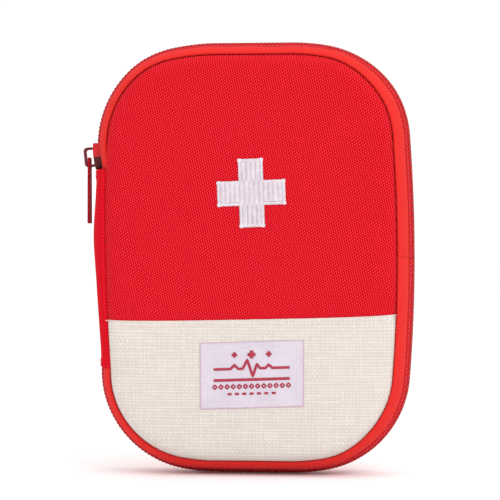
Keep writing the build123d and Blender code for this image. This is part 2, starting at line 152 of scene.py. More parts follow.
def seam_shift(normals):
    """How much further in the panels' seams lie along the right side, where the zip tape shows more."""
    return 1.1 * MM * smoothstep(0.3, 0.9, normals[:, 0])


def smoothstep(low, high, value):
    """0 before low and 1 past high, smooth between them."""
    t = np.clip((np.asarray(value, float) - low) / (high - low), 0, 1)
    return t * t * (3 - 2 * t)


corner_z = SHOULDER_R * (1 - math.cos(SHOULDER_TURN)) + CORNER_R * math.cos(SHOULDER_TURN)
side_r = (height / 2 - corner_z + CORNER_R * math.sin(SIDE_TURN)) / math.sin(SIDE_TURN)
corner_x = half_width - CORNER_R * math.cos(SIDE_TURN) - side_r * (1 - math.cos(SIDE_TURN))
flat_half = corner_x - (SHOULDER_R - CORNER_R) * math.sin(SHOULDER_TURN)

shoulder, corner = (SHOULDER_R, SHOULDER_TURN), (CORNER_R, CORNER_TURN)
half_flat, flat = (0, flat_half), (0, 2 * flat_half)
half_turn = [shoulder, corner, (side_r, 2 * SIDE_TURN), corner, shoulder]
outline = Line((0, 0), 0.0, [half_flat, *half_turn, flat, *half_turn, half_flat])

upper_runs = [(side_r, SIDE_TURN), corner, shoulder, flat, shoulder]
upper_runs.append((CORNER_R, CORNER_TURN + SIDE_TURN + UPPER_TUCK))
upper_line = Line((half_width, height / 2), math.radians(90), upper_runs)

lower_start = (-corner_x - CORNER_R * math.cos(LOWER_TUCK), corner_z + CORNER_R * math.sin(LOWER_TUCK))
lower_runs = [(CORNER_R, math.radians(90) - SHOULDER_TURN + LOWER_TUCK), shoulder, flat, shoulder]
lower_runs += [corner, (side_r, SIDE_TURN)]
lower_line = Line(lower_start, math.radians(270) - LOWER_TUCK, lower_runs)

left_base, left_normals = outline.at(np.linspace(outline.length * 0.55, outline.length * 0.95, 400))


def left_side(z, inset):
    """X of the left side of the outline at height z, moved inwards by inset."""
    ring = left_base - left_normals * inset
    return float(np.interp(z, ring[::-1, 1], ring[::-1, 0]))


# ------------------------------------------------------------------ mesh helpers


def wobble(points, scale, seed):
    """Smooth noise from about -1 to 1 at each of these 3-D points, with bumps about scale across."""
    return np.array([noise.noise(Vector(p) / scale + Vector((seed, 3.1 * seed, -seed))) for p in points])


def mesh_piece(name, points, faces, material, uvs=None):
    """A mesh object from points, faces and one UV per point, in metres."""
    mesh = bpy.data.meshes.new(name)
    mesh.from_pydata([tuple(p) for p in points], [], [tuple(int(i) for i in f) for f in faces])
    if uvs is not None:
        layer = mesh.uv_layers.new(name="UVMap")
        corners = np.zeros(len(mesh.loops), np.int32)
        mesh.loops.foreach_get("vertex_index", corners)
        layer.data.foreach_set("uv", np.asarray(uvs, float)[corners].astype(np.float32).ravel())
    mesh.polygons.foreach_set("use_smooth", [True] * len(mesh.polygons))
    mesh.validate()
    piece = bpy.data.objects.new(name, mesh)
    bpy.context.scene.collection.objects.link(piece)
    piece.data.materials.append(material)
    return piece


def grid_faces(rows, columns, wrap_rows=False, wrap_columns=False, flip=False, start=0):
    """Quads of a grid of points held row by row."""
    faces = []
    for r in range(rows if wrap_rows else rows - 1):
        for c in range(columns if wrap_columns else columns - 1):
            r2, c2 = (r + 1) % rows, (c + 1) % columns
            quad = [r * columns + c, r * columns + c2, r2 * columns + c2, r2 * columns + c]
            faces.append([start + i for i in (quad[::-1] if flip else quad)])
    return faces


def apply_modifiers(piece):
    """Bakes a piece's modifiers into its mesh."""
    graph = bpy.context.evaluated_depsgraph_get()
    graph.update()
    baked = bpy.data.meshes.new_from_object(piece.evaluated_get(graph))
    old = piece.data
    piece.modifiers.clear()
    piece.data = baked
    bpy.data.meshes.remove(old)
    return piece


def copied(name, mesh, material):
    """A piece from a copy of a mesh, in a material of its own."""
    piece = bpy.data.objects.new(name, mesh.copy())
    bpy.context.scene.collection.objects.link(piece)
    piece.data.materials.clear()
    piece.data.materials.append(material)
    return piece


def cut_above(mesh, level, normal=Vector((0, 0, 1))):
    """Cuts away what lies above a plane that crosses the middle at this level."""
    work = bmesh.new()
    work.from_mesh(mesh)
    geometry = work.verts[:] + work.edges[:] + work.faces[:]
    bmesh.ops.bisect_plane(work, geom=geometry, plane_co=(0, 0, level), plane_no=normal, clear_outer=True)
    work.to_mesh(mesh)
    work.free()


def thickened(sheet, thickness, smooth=False):
    """A sheet given its cloth's thickness, half to each side, and rounded once more if smooth is set."""
    solid = sheet.modifiers.new("solid", "SOLIDIFY")
    solid.thickness, solid.offset = thickness, 0.0
    if smooth:
        sheet.modifiers.new("smooth", "SUBSURF").levels = 1
    return apply_modifiers(sheet)


def surface_of(*pieces):
    """A tree of the pieces' faces, to find where their surface lies."""
    points, faces = [], []
    for piece in pieces:
        start = len(points)
        points += [v.co.copy() for v in piece.data.vertices]
        faces += [[start + i for i in p.vertices] for p in piece.data.polygons]
    return BVHTree.FromPolygons(points, faces)


def drop(tree, x, z):
    """The outermost point of the front's surface at (x, z)."""
    hit = tree.ray_cast(Vector((x, -0.05, z)), Vector((0, 1, 0)))
    return hit[0] if hit[0] else Vector((x, -face_depth, z))


class Bundle:
    """Threads, bars and other small shapes gathered into one mesh."""

    def __init__(self):
        self.points, self.faces, self.uvs = [], [], []

    def tube(self, path, radii, sides, flatten=1.0, up=Vector((0, -1, 0))):
        """A tube along a path of points, closed at both ends, flattened along up."""
        path = [Vector(p) for p in path]
        start, run = len(self.points), 0.0
        for i, point in enumerate(path):
            ahead = (path[min(i + 1, len(path) - 1)] - path[max(i - 1, 0)]).normalized()
            across = ahead.cross(up)
            across = across.normalized() if across.length > 1e-6 else ahead.orthogonal().normalized()
            lift = across.cross(ahead).normalized() * flatten
            run += (point - path[i - 1]).length if i else 0.0
            for k in range(sides):
                angle = 2 * math.pi * k / sides
                self.points.append(point + (across * math.cos(angle) + lift * math.sin(angle)) * radii[i])
                self.uvs.append((run, radii[i] * angle))
        self.faces += grid_faces(len(path), sides, wrap_columns=True, start=start)
        self.faces.append([start + k for k in range(sides)][::-1])
        self.faces.append([start + (len(path) - 1) * sides + k for k in range(sides)])

    def stitch(self, first, last, radius, rise, sides=6, outward=Vector((0, -1, 0))):
        """One stitch: a thread that leaves the cloth at first, arches by rise and enters it at last."""
        steps = (0.0, 0.12, 0.35, 0.65, 0.88, 1.0)
        heights = (-0.8, 0.35, 1.0, 1.0, 0.35, -0.8)
        widths = (0.55, 0.9, 1.0, 1.0, 0.9, 0.55)
        first, last = Vector(first), Vector(last)
        path = [first.lerp(last, t) + outward * rise * h for t, h in zip(steps, heights)]
        self.tube(path, [radius * w for w in widths], sides, up=outward)

    def piece(self, name, material):
        """The bundle as one object."""
        return mesh_piece(name, self.points, self.faces, material, self.uvs)


def stitched_path(bundle, tree, path, length, gap, radius, rise):
    """Running stitches along a path of (x, z) points, lying on the front's surface."""
    half_gap = 0.5 * gap / (length + gap)
    for (x0, z0), (x1, z1) in zip(path[:-1], path[1:]):
        count = max(1, round(math.hypot(x1 - x0, z1 - z0) / (length + gap)))
        for k in range(count):
            first, last = (
                drop(tree, x0 + (x1 - x0) * t, z0 + (z1 - z0) * t)
                for t in ((k + half_gap) / count, (k + 1 - half_gap) / count)
            )
            bundle.stitch(first, last, radius, rise)


def stitches_along(name, line, pitch, ends, spot, radius, rise, facing, material):
    """Stitches all along a line, at a spot of (y, inset), on cloth that faces out or in.

    ends are where each stitch starts and stops in its pitch; facing is 1 for out and -1 for in.
    """
    bundle = Bundle()
    y, inset = spot
    count = int(line.length / pitch)
    starts = np.arange(count) * line.length / count
    firsts, first_normals = line.at(starts + ends[0])
    lasts, last_normals = line.at(np.minimum(starts + ends[1], line.length))
    for a, an, b, bn in zip(firsts, first_normals, lasts, last_normals):
        p, q = a - an * inset, b - bn * inset
        outward = Vector((an[0], 0, an[1])) * facing
        bundle.stitch((p[0], y, p[1]), (q[0], y, q[1]), radius, rise, 5, outward)
    return bundle.piece(name, material)


# ------------------------------------------------------------------ materials


class Paint:
    """A node material under construction; sockets go in as inputs, numbers are set directly."""

    def __init__(self, name, roughness=0.8, metallic=0.0, **sockets):
        self.material = bpy.data.materials.new(name)
        self.material.use_nodes = True
        self.tree = self.material.node_tree
        self.shader = self.tree.nodes["Principled BSDF"]
        self.shader.inputs["Roughness"].default_value = roughness
        self.shader.inputs["Metallic"].default_value = metallic
        for socket, value in sockets.items():
            self.shader.inputs[socket.replace("_", " ")].default_value = value

    def node(self, kind, inputs=(), **settings):
        """Adds a node; inputs are (socket, value or socket to link) pairs."""
        made = self.tree.nodes.new(kind)
        for key, value in settings.items():
            setattr(made, key, value)
        for socket, value in inputs:
            if isinstance(value, bpy.types.NodeSocket):
                self.tree.links.new(value, made.inputs[socket])
            else:
                made.inputs[socket].default_value = value
        return made

    def math(self, operation, first, second=0.0, third=0.0):
        """One math node's output."""
        pairs = [(0, first), (1, second), (2, third)]
        return self.node("ShaderNodeMath", pairs, operation=operation).outputs[0]

    def uv(self):
        """The piece's own coordinates along and across its cloth, in metres, as two sockets."""
        split = self.node("ShaderNodeSeparateXYZ", [(0, self.node("ShaderNodeUVMap").outputs[0])])
        return split.outputs[0], split.outputs[1]

    def place(self):
        """Position in the row frame, in metres."""
        return self.node("ShaderNodeTexCoord").outputs["Object"]

    def noise(self, scale, detail=2.0, vector=None, stretch=None):
        """Noise with features about scale metres across, from 0 to 1."""
        vector = vector or self.place()
        if stretch:
            pairs = [(0, vector), (1, stretch)]
            vector = self.node("ShaderNodeVectorMath", pairs, operation="MULTIPLY").outputs[0]
        pairs = [("Vector", vector), ("Scale", 1 / scale), ("Detail", detail)]
        return self.node("ShaderNodeTexNoise", pairs).outputs[0]

    def mix(self, factor, first, second):
        """A colour between two colours, or sockets of colours."""
        made = self.node("ShaderNodeMix", data_type="RGBA")
        for socket, value in ((made.inputs[0], factor), (made.inputs[6], first), (made.inputs[7], second)):
            if isinstance(value, bpy.types.NodeSocket):
                self.tree.links.new(value, socket)
            else:
                socket.default_value = value
        return made.outputs[2]

    def ramp(self, value, low, high, to_low=0.0, to_high=1.0):
        """A value stretched from one range to another and held inside it."""
        pairs = [(0, value), (1, low), (2, high), (3, to_low), (4, to_high)]
        return self.node("ShaderNodeMapRange", pairs).outputs[0]

    def weave(self, warp, weft, warp_lean, weft_lean):
        """A plain weave of threads at these two pitches, leaning by these slopes off the cloth's axes.

        Gives the height, from 0 in the gaps to 1 on top of the threads, and where the warp is on top.
        """
        u, v = self.uv()
        across = self.math("MULTIPLY_ADD", v, warp_lean, u)
        along = self.math("MULTIPLY_ADD", u, weft_lean, v)
        wave_u = self.math("COSINE", self.math("MULTIPLY", across, math.pi / warp))
        wave_v = self.math("COSINE", self.math("MULTIPLY", along, math.pi / weft))
        over = self.math("MULTIPLY_ADD", self.math("MULTIPLY", wave_u, wave_v), 0.5, 0.5)
        under = self.math("SUBTRACT", 1.0, over)
        warp_height = self.math("MULTIPLY", self.math("SQRT", self.math("ABSOLUTE", wave_u)), over)
        weft_height = self.math("MULTIPLY", self.math("SQRT", self.math("ABSOLUTE", wave_v)), under)
        height_map = self.math("MAXIMUM", warp_height, weft_height)
        return height_map, self.math("GREATER_THAN", warp_height, weft_height)

    def wave(self, value, pitch):
        """A sine of this pitch along a value, from 0 to 1."""
        turn = self.math("MULTIPLY", value, 2 * math.pi / pitch)
        return self.math("MULTIPLY_ADD", self.math("SINE", turn), 0.5, 0.5)

    def bump(self, relief, distance, below=None):
        """Adds a bump of this relief to the shader, over another one if given."""
        pairs = [("Height", relief), ("Distance", distance), ("Strength", 1.0)]
        if below is not None:
            pairs.append(("Normal", below))
        made = self.node("ShaderNodeBump", pairs)
        self.tree.links.new(made.outputs[0], self.shader.inputs["Normal"])
        return made.outputs[0]

    def colour(self, value):
        """Links a colour to the shader."""
        self.tree.links.new(value, self.shader.inputs["Base Color"])

    def roughness(self, value):
        """Links a roughness to the shader."""
        self.tree.links.new(value, self.shader.inputs["Roughness"])


def rgb(*display):
    """A display colour from 0 to 255 as a scene colour with alpha."""
    return tuple(((c / 255 + 0.055) / 1.055) ** 2.4 if c > 10 else c / 3295 for c in display) + (1.0,)


def cloth_paint(
    name, light, dark, pitch, bump, gap=0.3, weft_shade=0.8, roughness=0.85, sheen=0.02,
    slub=0.2, lean=(0.0, 0.0), crown=None,
):
    """Woven cloth: threads over and under, painted shade in the gaps, uneven threads and a faint large-scale
    variation.

    pitch is the warp's and the weft's, gap the darkest the painted shade in a gap gets, weft_shade how
    light the weft looks and crown a painted highlight where the warp threads rise highest.
    """
    paint = Paint(name, roughness, Sheen_Weight=sheen, Sheen_Roughness=0.5, Specular_IOR_Level=0.03)
    warp, weft = pitch if isinstance(pitch, tuple) else (pitch, pitch)
    height_map, warp_up = paint.weave(warp, weft, *lean)
    u, v = paint.uv()
    drawn_u, drawn_v = paint.math("MULTIPLY", u, 0.08), paint.math("MULTIPLY", v, 0.08)
    along_v = paint.node("ShaderNodeCombineXYZ", [(0, u), (1, drawn_v)]).outputs[0]
    along_u = paint.node("ShaderNodeCombineXYZ", [(0, drawn_u), (1, v)]).outputs[0]
    warp_thread = paint.noise(0.9 * warp, 1.0, along_v)
    weft_thread = paint.noise(0.9 * weft, 1.0, along_u)
    pairs = [(0, warp_up), (2, weft_thread), (3, warp_thread)]
    thread = paint.node("ShaderNodeMix", pairs, data_type="FLOAT").outputs[0]
    # painted shade: darker where the weave dips between threads
    shade = paint.ramp(height_map, 0.2, 0.8, gap, 1.0)
    shade = paint.math("MULTIPLY", shade, paint.math("MULTIPLY_ADD", warp_up, 1 - weft_shade, weft_shade))
    shade = paint.math("MULTIPLY", shade, paint.ramp(thread, 0.3, 0.7, 1 - slub, 1.0))
    shade = paint.math("MULTIPLY", shade, paint.ramp(paint.noise(22 * MM, 3.0), 0.3, 0.7, 0.94, 1.0))
    body = paint.mix(shade, dark, light)
    # painted highlight where the warp threads rise highest
    crown_highlight = paint.ramp(paint.math("MULTIPLY", height_map, warp_up), 0.78, 1.0, 0.0, 0.75)
    paint.colour(paint.mix(crown_highlight, body, crown) if crown else body)
    rough_gap = min(roughness + 0.12, 1.0)
    paint.roughness(paint.ramp(height_map, 0.2, 1.0, rough_gap, roughness - 0.05))
    below = paint.bump(paint.noise(9 * MM, 2.0), 0.2 * MM)
    paint.bump(paint.math("MULTIPLY_ADD", thread, 0.3, height_map), bump, below)
    return paint.material


def thread_paint(name, light, dark):
    """Embroidery or sewing thread: fine twist along its length, painted shade in the twist's grooves, with a
    soft gloss.
    """
    twist, roughness = 0.5 * MM, 0.45
    paint = Paint(name, roughness, Sheen_Weight=0.3, Specular_IOR_Level=0.5)
    u, v = paint.uv()
    strand = paint.wave(paint.math("ADD", u, paint.math("MULTIPLY", v, 1.6)), twist)
    fleck = paint.ramp(paint.noise(2.5 * MM, 2.0), 0.3, 0.7, 0.6, 1.0)
    # painted shade: darker in the twist's grooves, mottled at random
    shade = paint.math("MULTIPLY", paint.ramp(strand, 0, 1, 0.65, 1.0), fleck)
    paint.colour(paint.mix(shade, dark, light))
    paint.roughness(paint.ramp(strand, 0, 1, roughness + 0.2, roughness))
    paint.bump(strand, 0.04 * MM)
    return paint.material


def metal_paint(name, light, dark, edge, roughness=0.3, gloss=0.3):
    """Enamelled die-cast metal: uneven gloss, fine orange peel and scuffs."""
    coat = {"Coat_Weight": gloss / 4, "Coat_Roughness": 0.2}
    paint = Paint(name, roughness, Specular_IOR_Level=gloss, **coat)
    grime = paint.noise(1.6 * MM, 4.0)
    scuff = paint.ramp(paint.noise(0.5 * MM, 5.0, stretch=(1, 1, 0.25)), 0.6, 0.72)
    body = paint.mix(paint.ramp(grime, 0.3, 0.7), dark, light)
    paint.colour(paint.mix(paint.math("MULTIPLY", scuff, 0.35), body, edge))
    paint.roughness(paint.ramp(grime, 0.3, 0.7, roughness + 0.18, roughness))
    paint.bump(paint.noise(0.35 * MM, 2.0), 0.03 * MM)
    return paint.material


def brushed_paint(name):
    """Bare steel brushed along its length."""
    paint = Paint(name, 0.3, 1.0)
    lines = paint.noise(0.25 * MM, 3.0, stretch=(1, 1, 0.03))
    paint.colour(paint.mix(paint.ramp(lines, 0.3, 0.7), rgb(150, 152, 156), rgb(214, 216, 220)))
    paint.roughness(paint.ramp(lines, 0.3, 0.7, 0.42, 0.24))
    paint.bump(lines, 0.02 * MM)
    return paint.material


def plastic_paint(name, light, dark, roughness):
    """Moulded plastic with a fine grain and slightly uneven colour."""
    paint = Paint(name, roughness, Specular_IOR_Level=0.5)
    cloud = paint.noise(4 * MM, 3.0)
    paint.colour(paint.mix(paint.ramp(cloud, 0.3, 0.7), dark, light))
    fine = paint.noise(0.3 * MM, 2.0)
    paint.roughness(paint.ramp(fine, 0.3, 0.7, roughness + 0.12, roughness - 0.05))
    paint.bump(fine, 0.03 * MM)
    return paint.material


def paper_paint(name, ground, shade, mark, arm):
    """A paper or foil sachet: fibres, soft creases and a printed plus sign in its middle."""
    paint = Paint(name, 0.55, Specular_IOR_Level=0.4)
    off_u, off_v = (paint.math("ABSOLUTE", socket) for socket in paint.uv())
    near, far = paint.math("MINIMUM", off_u, off_v), paint.math("MAXIMUM", off_u, off_v)
    narrow, short = paint.math("LESS_THAN", near, arm / 3), paint.math("LESS_THAN", far, arm)
    plus = paint.math("MULTIPLY", narrow, short)
    fibre = paint.ramp(paint.noise(1.5 * MM, 4.0), 0.3, 0.7)
    paint.colour(paint.mix(plus, paint.mix(fibre, shade, ground), mark))
    creases = paint.noise(9 * MM, 4.0)
    paint.roughness(paint.ramp(creases, 0.3, 0.7, 0.65, 0.4))
    paint.bump(creases, 0.5 * MM)
    return paint.material


def coil_paint():
    """Zip coil: a painted pink highlight where a tooth bends into its tape, painted shade down its middle,
    brownish at its crest.
    """
    paint = Paint("red_coil", 0.4, Specular_IOR_Level=0.12)
    out = paint.uv()[0]
    cloud = paint.noise(1.2 * MM, 3.0)
    # painted shade along the middle of each tooth, mottled at random
    leg_shade = paint.mix(paint.ramp(cloud, 0.3, 0.7), rgb(128, 2, 12), rgb(172, 10, 22))
    # painted highlight where each tooth bends into its tape
    root_highlight = paint.mix(paint.ramp(out, -1.5 * MM, -1.2 * MM), rgb(222, 62, 80), leg_shade)
    paint.colour(paint.mix(paint.ramp(out, -0.75 * MM, -0.35 * MM), root_highlight, rgb(160, 40, 34)))
    paint.roughness(paint.ramp(cloud, 0.3, 0.7, 0.5, 0.36))
    paint.bump(paint.noise(0.3 * MM, 2.0), 0.03 * MM)
    return paint.material


# crown: painted highlight on the red canvas's warp threads
red_cloth = cloth_paint(
    "red_canvas", rgb(252, 34, 52), rgb(160, 0, 6), (0.93 * MM, 0.553 * MM), 0.08 * MM, 0.0, 0.5,
    slub=0.25, lean=(0.215, -0.036), crown=rgb(255, 104, 112),
)
spine_cloth = cloth_paint(
    "red_spine_canvas", rgb(232, 24, 40), rgb(160, 4, 18), 0.7 * MM, 0.08 * MM, 0.4, 0.7,
)
tape_cloth = cloth_paint(
    "red_zip_tape", rgb(232, 56, 50), rgb(190, 22, 24), 0.38 * MM, 0.03 * MM, 0.5, 0.9, 0.7, 0.03,
    slub=0.4,
)
cream_cloth = cloth_paint(
    "cream_canvas", rgb(233, 225, 218), rgb(170, 160, 152), (0.88 * MM, 1.28 * MM), 0.05 * MM, 0.5, 0.92,
    slub=0.3,
)
lining_cloth = cloth_paint("grey_lining", rgb(92, 94, 100), rgb(44, 45, 50), 0.25 * MM, 0.03 * MM)
binding_cloth = cloth_paint("black_binding", rgb(52, 52, 56), rgb(16, 16, 18), 0.5 * MM, 0.08 * MM)
elastic_cloth = cloth_paint("black_elastic", rgb(60, 60, 64), rgb(14, 14, 16), 0.8 * MM, 0.2 * MM, 0.1)
gauze_cloth = cloth_paint("white_gauze", rgb(240, 240, 236), rgb(170, 172, 170), 0.7 * MM, 0.18 * MM, 0.1)
crepe_cloth = cloth_paint("tan_crepe", rgb(216, 180, 142), rgb(146, 108, 78), 0.6 * MM, 0.22 * MM, 0.1)
surgical_cloth = cloth_paint("white_tape", rgb(236, 232, 222), rgb(200, 194, 182), 0.35 * MM, 0.04 * MM)
white_thread = thread_paint("white_thread", rgb(244, 238, 243), rgb(200, 188, 200))
fill_thread = thread_paint("fill_thread", rgb(255, 245, 252), rgb(196, 180, 196))
cream_thread = thread_paint("cream_thread", rgb(248, 236, 222), rgb(204, 186, 164))
red_thread = thread_paint("red_thread", rgb(226, 22, 38), rgb(150, 6, 20))
dark_thread = thread_paint("dark_thread", rgb(90, 90, 96), rgb(24, 24, 26))
crimson_thread = thread_paint("crimson_thread", rgb(188, 18, 62), rgb(128, 6, 40))
coil_plastic = coil_paint()
slider_metal = metal_paint("red_enamel", rgb(216, 14, 24), rgb(184, 6, 16), rgb(226, 90, 90))
bridge_metal = metal_paint(
    "burgundy_enamel", rgb(128, 10, 30), rgb(86, 4, 18), rgb(180, 90, 100), 0.4
)
# painted shade for the slider's open tail
tail_shade_metal = metal_paint("shaded_enamel", rgb(92, 4, 10), rgb(48, 2, 6), rgb(130, 40, 44), 0.5)
pull_metal = metal_paint(
    "dark_red_enamel", rgb(176, 26, 38), rgb(130, 8, 20), rgb(214, 110, 112), 0.5, 0.06
)
steel = brushed_paint("brushed_steel")
spool_plastic = plastic_paint("white_spool", rgb(238, 238, 232), rgb(214, 214, 206), 0.5)
gauze_paper = paper_paint(
    "gauze_wrapper", rgb(240, 244, 246), rgb(214, 222, 228), rgb(40, 110, 170), 7 * MM
)
wipe_paper = paper_paint(
    "wipe_wrapper", rgb(206, 226, 236), rgb(170, 198, 214), rgb(30, 90, 140), 5 * MM
)
plaster_paper = paper_paint(
    "plaster_wrapper", rgb(248, 246, 240), rgb(226, 222, 212), rgb(200, 40, 50), 3 * MM
)

# ------------------------------------------------------------------ panels


def flat_points(points):
    """Points of (x, z) as 3-D points in the zip's middle plane."""
    return np.column_stack([points[:, 0], np.zeros(len(points)), points[:, 1]])


def disc(name, insets, depth_at, side, material, samples, inner_rings=16):
    """A sheet that fills the outline from its edge to its middle.

    Its depth is depth_at(inset, base, ring): base holds the outline's points and ring the sheet's own.
    """
    base, normals = outline.at(np.linspace(0, outline.length, samples, endpoint=False))
    middle = np.array([0.0, height / 2])
    shift = seam_shift(normals)
    rings = []
    for inset in insets:
        fade = float(smoothstep(20 * MM, 0, inset - SEAM_INSET))
        rings.append(base - normals * (inset + shift * fade)[:, None])
    depths = [depth_at(inset, base, ring) for inset, ring in zip(insets, rings)]
    last = rings[-1]
    for share in np.linspace(1, 0, inner_rings + 2)[1:-1]:
        rings.append(middle + (last - middle) * share)
        depths.append(depth_at(insets[-1], base, rings[-1]) * np.ones(samples))
    flat = np.concatenate(rings)
    points = np.column_stack([flat[:, 0], -side * np.concatenate(depths), flat[:, 1]])
    faces = grid_faces(len(rings), samples, wrap_columns=True, flip=side == BACK)
    cap = [(len(rings) - 1) * samples + k for k in range(samples)]
    faces.append(cap if side == FRONT else cap[::-1])
    return mesh_piece(name, points, faces, material, flat)


PAD_GRID = 5 * MM
PAD_PRESSURE, PAD_STEPS = 1.6, 20
PAD_CAP = 1.4 * MM
PAD_FULL = 16 * MM


def inset_of(spots):
    """How far inside the outline each point of (x, z) lies, or 0 outside it."""
    edge = outline.at(np.linspace(0, outline.length, 400, endpoint=False))[0]
    away = np.sqrt(((spots[:, None] - edge[None]) ** 2).sum(axis=2))
    nearest = edge[away.argmin(axis=1)]
    x, z = spots[:, 0], spots[:, 1]
    inside = ((nearest[:, 0] - x) * np.sign(x) > -1e-9) | (np.abs(x) < corner_x)
    return np.where(inside & (z > 0) & (z < height), away.min(axis=1), 0.0)


def pad_rise(side):
    """How far a panel's cloth is pressed out by its pad, as a function of points (x, z).

    An even sheet over the panel, held at and outside the seam and cut a little full, is blown up by
    cloth simulation; its rise is then read off between its points.
    """
    xs = np.arange(-half_width, half_width + PAD_GRID, PAD_GRID)
    zs = np.arange(0, height + PAD_GRID, PAD_GRID)
    spots = np.array([(x, z) for z in zs for x in xs])
    inset = inset_of(spots)
    uneven = wobble(flat_points(spots), 24 * MM, 31.0 + side) * 0.35 * MM
    start = (0.5 * MM + uneven) * smoothstep(SEAM_INSET, PAD_FULL, inset)
    points = np.column_stack([spots[:, 0], -side * start, spots[:, 1]])
    faces = grid_faces(len(zs), len(xs), flip=side == BACK)
    sheet = mesh_piece("pad_sheet", points, faces, red_cloth)
    held = sheet.vertex_groups.new(name="held")
    held.add([int(i) for i in np.flatnonzero(inset < SEAM_INSET + 1 * MM)], 1.0, "REPLACE")
    cloth = sheet.modifiers.new("cloth", "CLOTH")
    settings = cloth.settings
    settings.quality, settings.mass = 8, 0.15
    settings.vertex_group_mass = "held"
    settings.use_pressure, settings.uniform_pressure_force = True, PAD_PRESSURE
    settings.tension_stiffness = settings.compression_stiffness = 15
    settings.bending_stiffness = 0.5
    settings.effector_weights.gravity = 0
    cloth.point_cache.frame_start, cloth.point_cache.frame_end = 1, PAD_STEPS
    for step in range(1, PAD_STEPS + 1):
        bpy.context.scene.frame_set(step)
    apply_modifiers(sheet)
    bpy.context.scene.frame_set(1)
    rise = np.array([-side * v.co.y for v in sheet.data.vertices]).reshape(len(zs), len(xs))
    bpy.data.objects.remove(sheet)
    rise = np.clip(rise, 0, PAD_CAP)

    def rise_at(points):
        across = np.clip((points[:, 0] - xs[0]) / PAD_GRID, 0, len(xs) - 1.001)
        up = np.clip((points[:, 1] - zs[0]) / PAD_GRID, 0, len(zs) - 1.001)
        i, j = across.astype(int), up.astype(int)
        u, v = smoothstep(0, 1, across - i), smoothstep(0, 1, up - j)
        low = rise[j, i] * (1 - u) + rise[j, i + 1] * u
        high = rise[j + 1, i] * (1 - u) + rise[j + 1, i + 1] * u
        return low * (1 - v) + high * v

    return rise_at


def panel_depth(side, rise_at):
    """The padded panel's depth: a tight roll puckered by its stitches, and its pad's crown."""
    seed = 1.7 if side == FRONT else 8.3

    def depth_at(inset, base, ring):
        run = inset - SEAM_INSET
        roll = 1 - (1 - np.clip(run / (5.2 * MM), 0, 1)) ** 2.3
        floor = seam_depth - 1.3 * MM
        calm = float(smoothstep(18 * MM, 9 * MM, run))
        gathered = 0.42 * MM * math.exp(-run / (3.6 * MM))
        waved = 0.35 * MM * math.exp(-run / (9 * MM))
        gathers = wobble(flat_points(base), 4.2 * MM, seed) * gathered * calm
        waves = wobble(flat_points(base), 15 * MM, seed + 2) * waved * calm
        sewn = smoothstep(0.0, 1.2 * MM, run)
        crown = rise_at(ring) * float(smoothstep(2 * MM, 9 * MM, run))
        return floor + (face_depth - floor) * roll**0.8 + crown + (gathers + waves) * sewn

    return depth_at


PANEL_RUNS = [0.05, 0.08, 0.14, 0.25, 0.55, 0.9, 1.3, 1.8, 2.4, 3.1, 4.0, 5.0, 6.2, 7.6, 9.2]
PANEL_RUNS += [11, 13, 15.5, 18, 21, 24]


def panel(side, name):
    """One padded panel skin, from under the tape's edge to its middle."""
    insets = [SEAM_INSET + run * MM for run in PANEL_RUNS]
    depth_at = panel_depth(side, pad_rise(side))
    return disc(name, insets, depth_at, side, red_cloth, samples=420, inner_rings=40)


front_skin = panel(FRONT, "front_red_skin")
back_skin = panel(BACK, "back_red_skin")


def cream_edge(x):
    """Height of the cream cloth's folded top edge at x."""
    return CREAM_TOP + x * math.tan(CREAM_TILT) + 0.85 * MM * (np.asarray(x) / (60 * MM)) ** 4


def cream_layer():
    """The cream cloth over the lower front, from the seam up to its folded edge, with the hem's step."""
    piece = copied("front_cream_cloth", front_skin.data, cream_cloth)
    mesh = piece.data
    cut_above(mesh, CREAM_TOP, Vector((-math.sin(CREAM_TILT), 0, math.cos(CREAM_TILT))))
    outward = [vertex.normal.copy() for vertex in mesh.vertices]
    for vertex, normal in zip(mesh.vertices, outward):
        x, y, z = vertex.co
        straight = CREAM_TOP + x * math.tan(CREAM_TILT)
        below = straight - z
        hem = 1 - smoothstep(HEM_DROP - 0.6 * MM, HEM_DROP + 0.8 * MM, below)
        tuck = float(smoothstep(-seam_depth, -seam_depth - 1.8 * MM, y))
        wave = 0.10 * MM * noise.noise(Vector((x, z, 0)) / (11 * MM))
        lift = CREAM_SEAM_LIFT + (CREAM_LIFT - CREAM_SEAM_LIFT + HEM_LIFT * float(hem) + wave) * tuck
        vertex.co += normal * lift
        if below < HEM_BEND:
            vertex.co.z += float(cream_edge(x) - straight) * (1 - below / HEM_BEND)
    mesh.update()
    return piece


def cream_fold():
    """The rolled top edge of the cream cloth, which turns back under to the red."""
    tree = surface_of(front_skin)
    half = half_width - SEAM_INSET - 0.6 * MM
    sections, columns = [], 150
    radius = (CREAM_LIFT + HEM_LIFT) / 2
    for i in range(columns):
        x = -half + 2 * half * i / (columns - 1)
        z = float(cream_edge(x))
        ground = drop(tree, x, z)
        puff = 1 + 0.18 * noise.noise(Vector((x, 0, 0)) / (5 * MM))
        for k in range(9):
            angle = math.pi * k / 8
            out = radius * (1 + puff * math.cos(angle))
            sections.append((x, ground.y - out, z + radius * puff * 1.1 * math.sin(angle) - 0.1 * MM))
    uvs = [(p[0], p[2] + 0.4 * MM * (i % 9)) for i, p in enumerate(sections)]
    return mesh_piece("cream_fold", sections, grid_faces(columns, 9), cream_cloth, uvs)


cream_skin = cream_layer()
cream_roll = cream_fold()
front_tree = surface_of(front_skin, cream_skin, cream_roll)


def cream_topstitch():
    """The row of stitches that holds the cream hem."""
    bundle = Bundle()
    half = half_width - SEAM_INSET - 3 * MM
    xs = np.linspace(-half, half, 24)
    path = [(x, float(cream_edge(x)) - 1.9 * MM) for x in xs]
    stitched_path(bundle, front_tree, path, 2.2 * MM, 0.7 * MM, 0.15 * MM, rise=0.08 * MM)
    return bundle.piece("cream_topstitch", cream_thread)


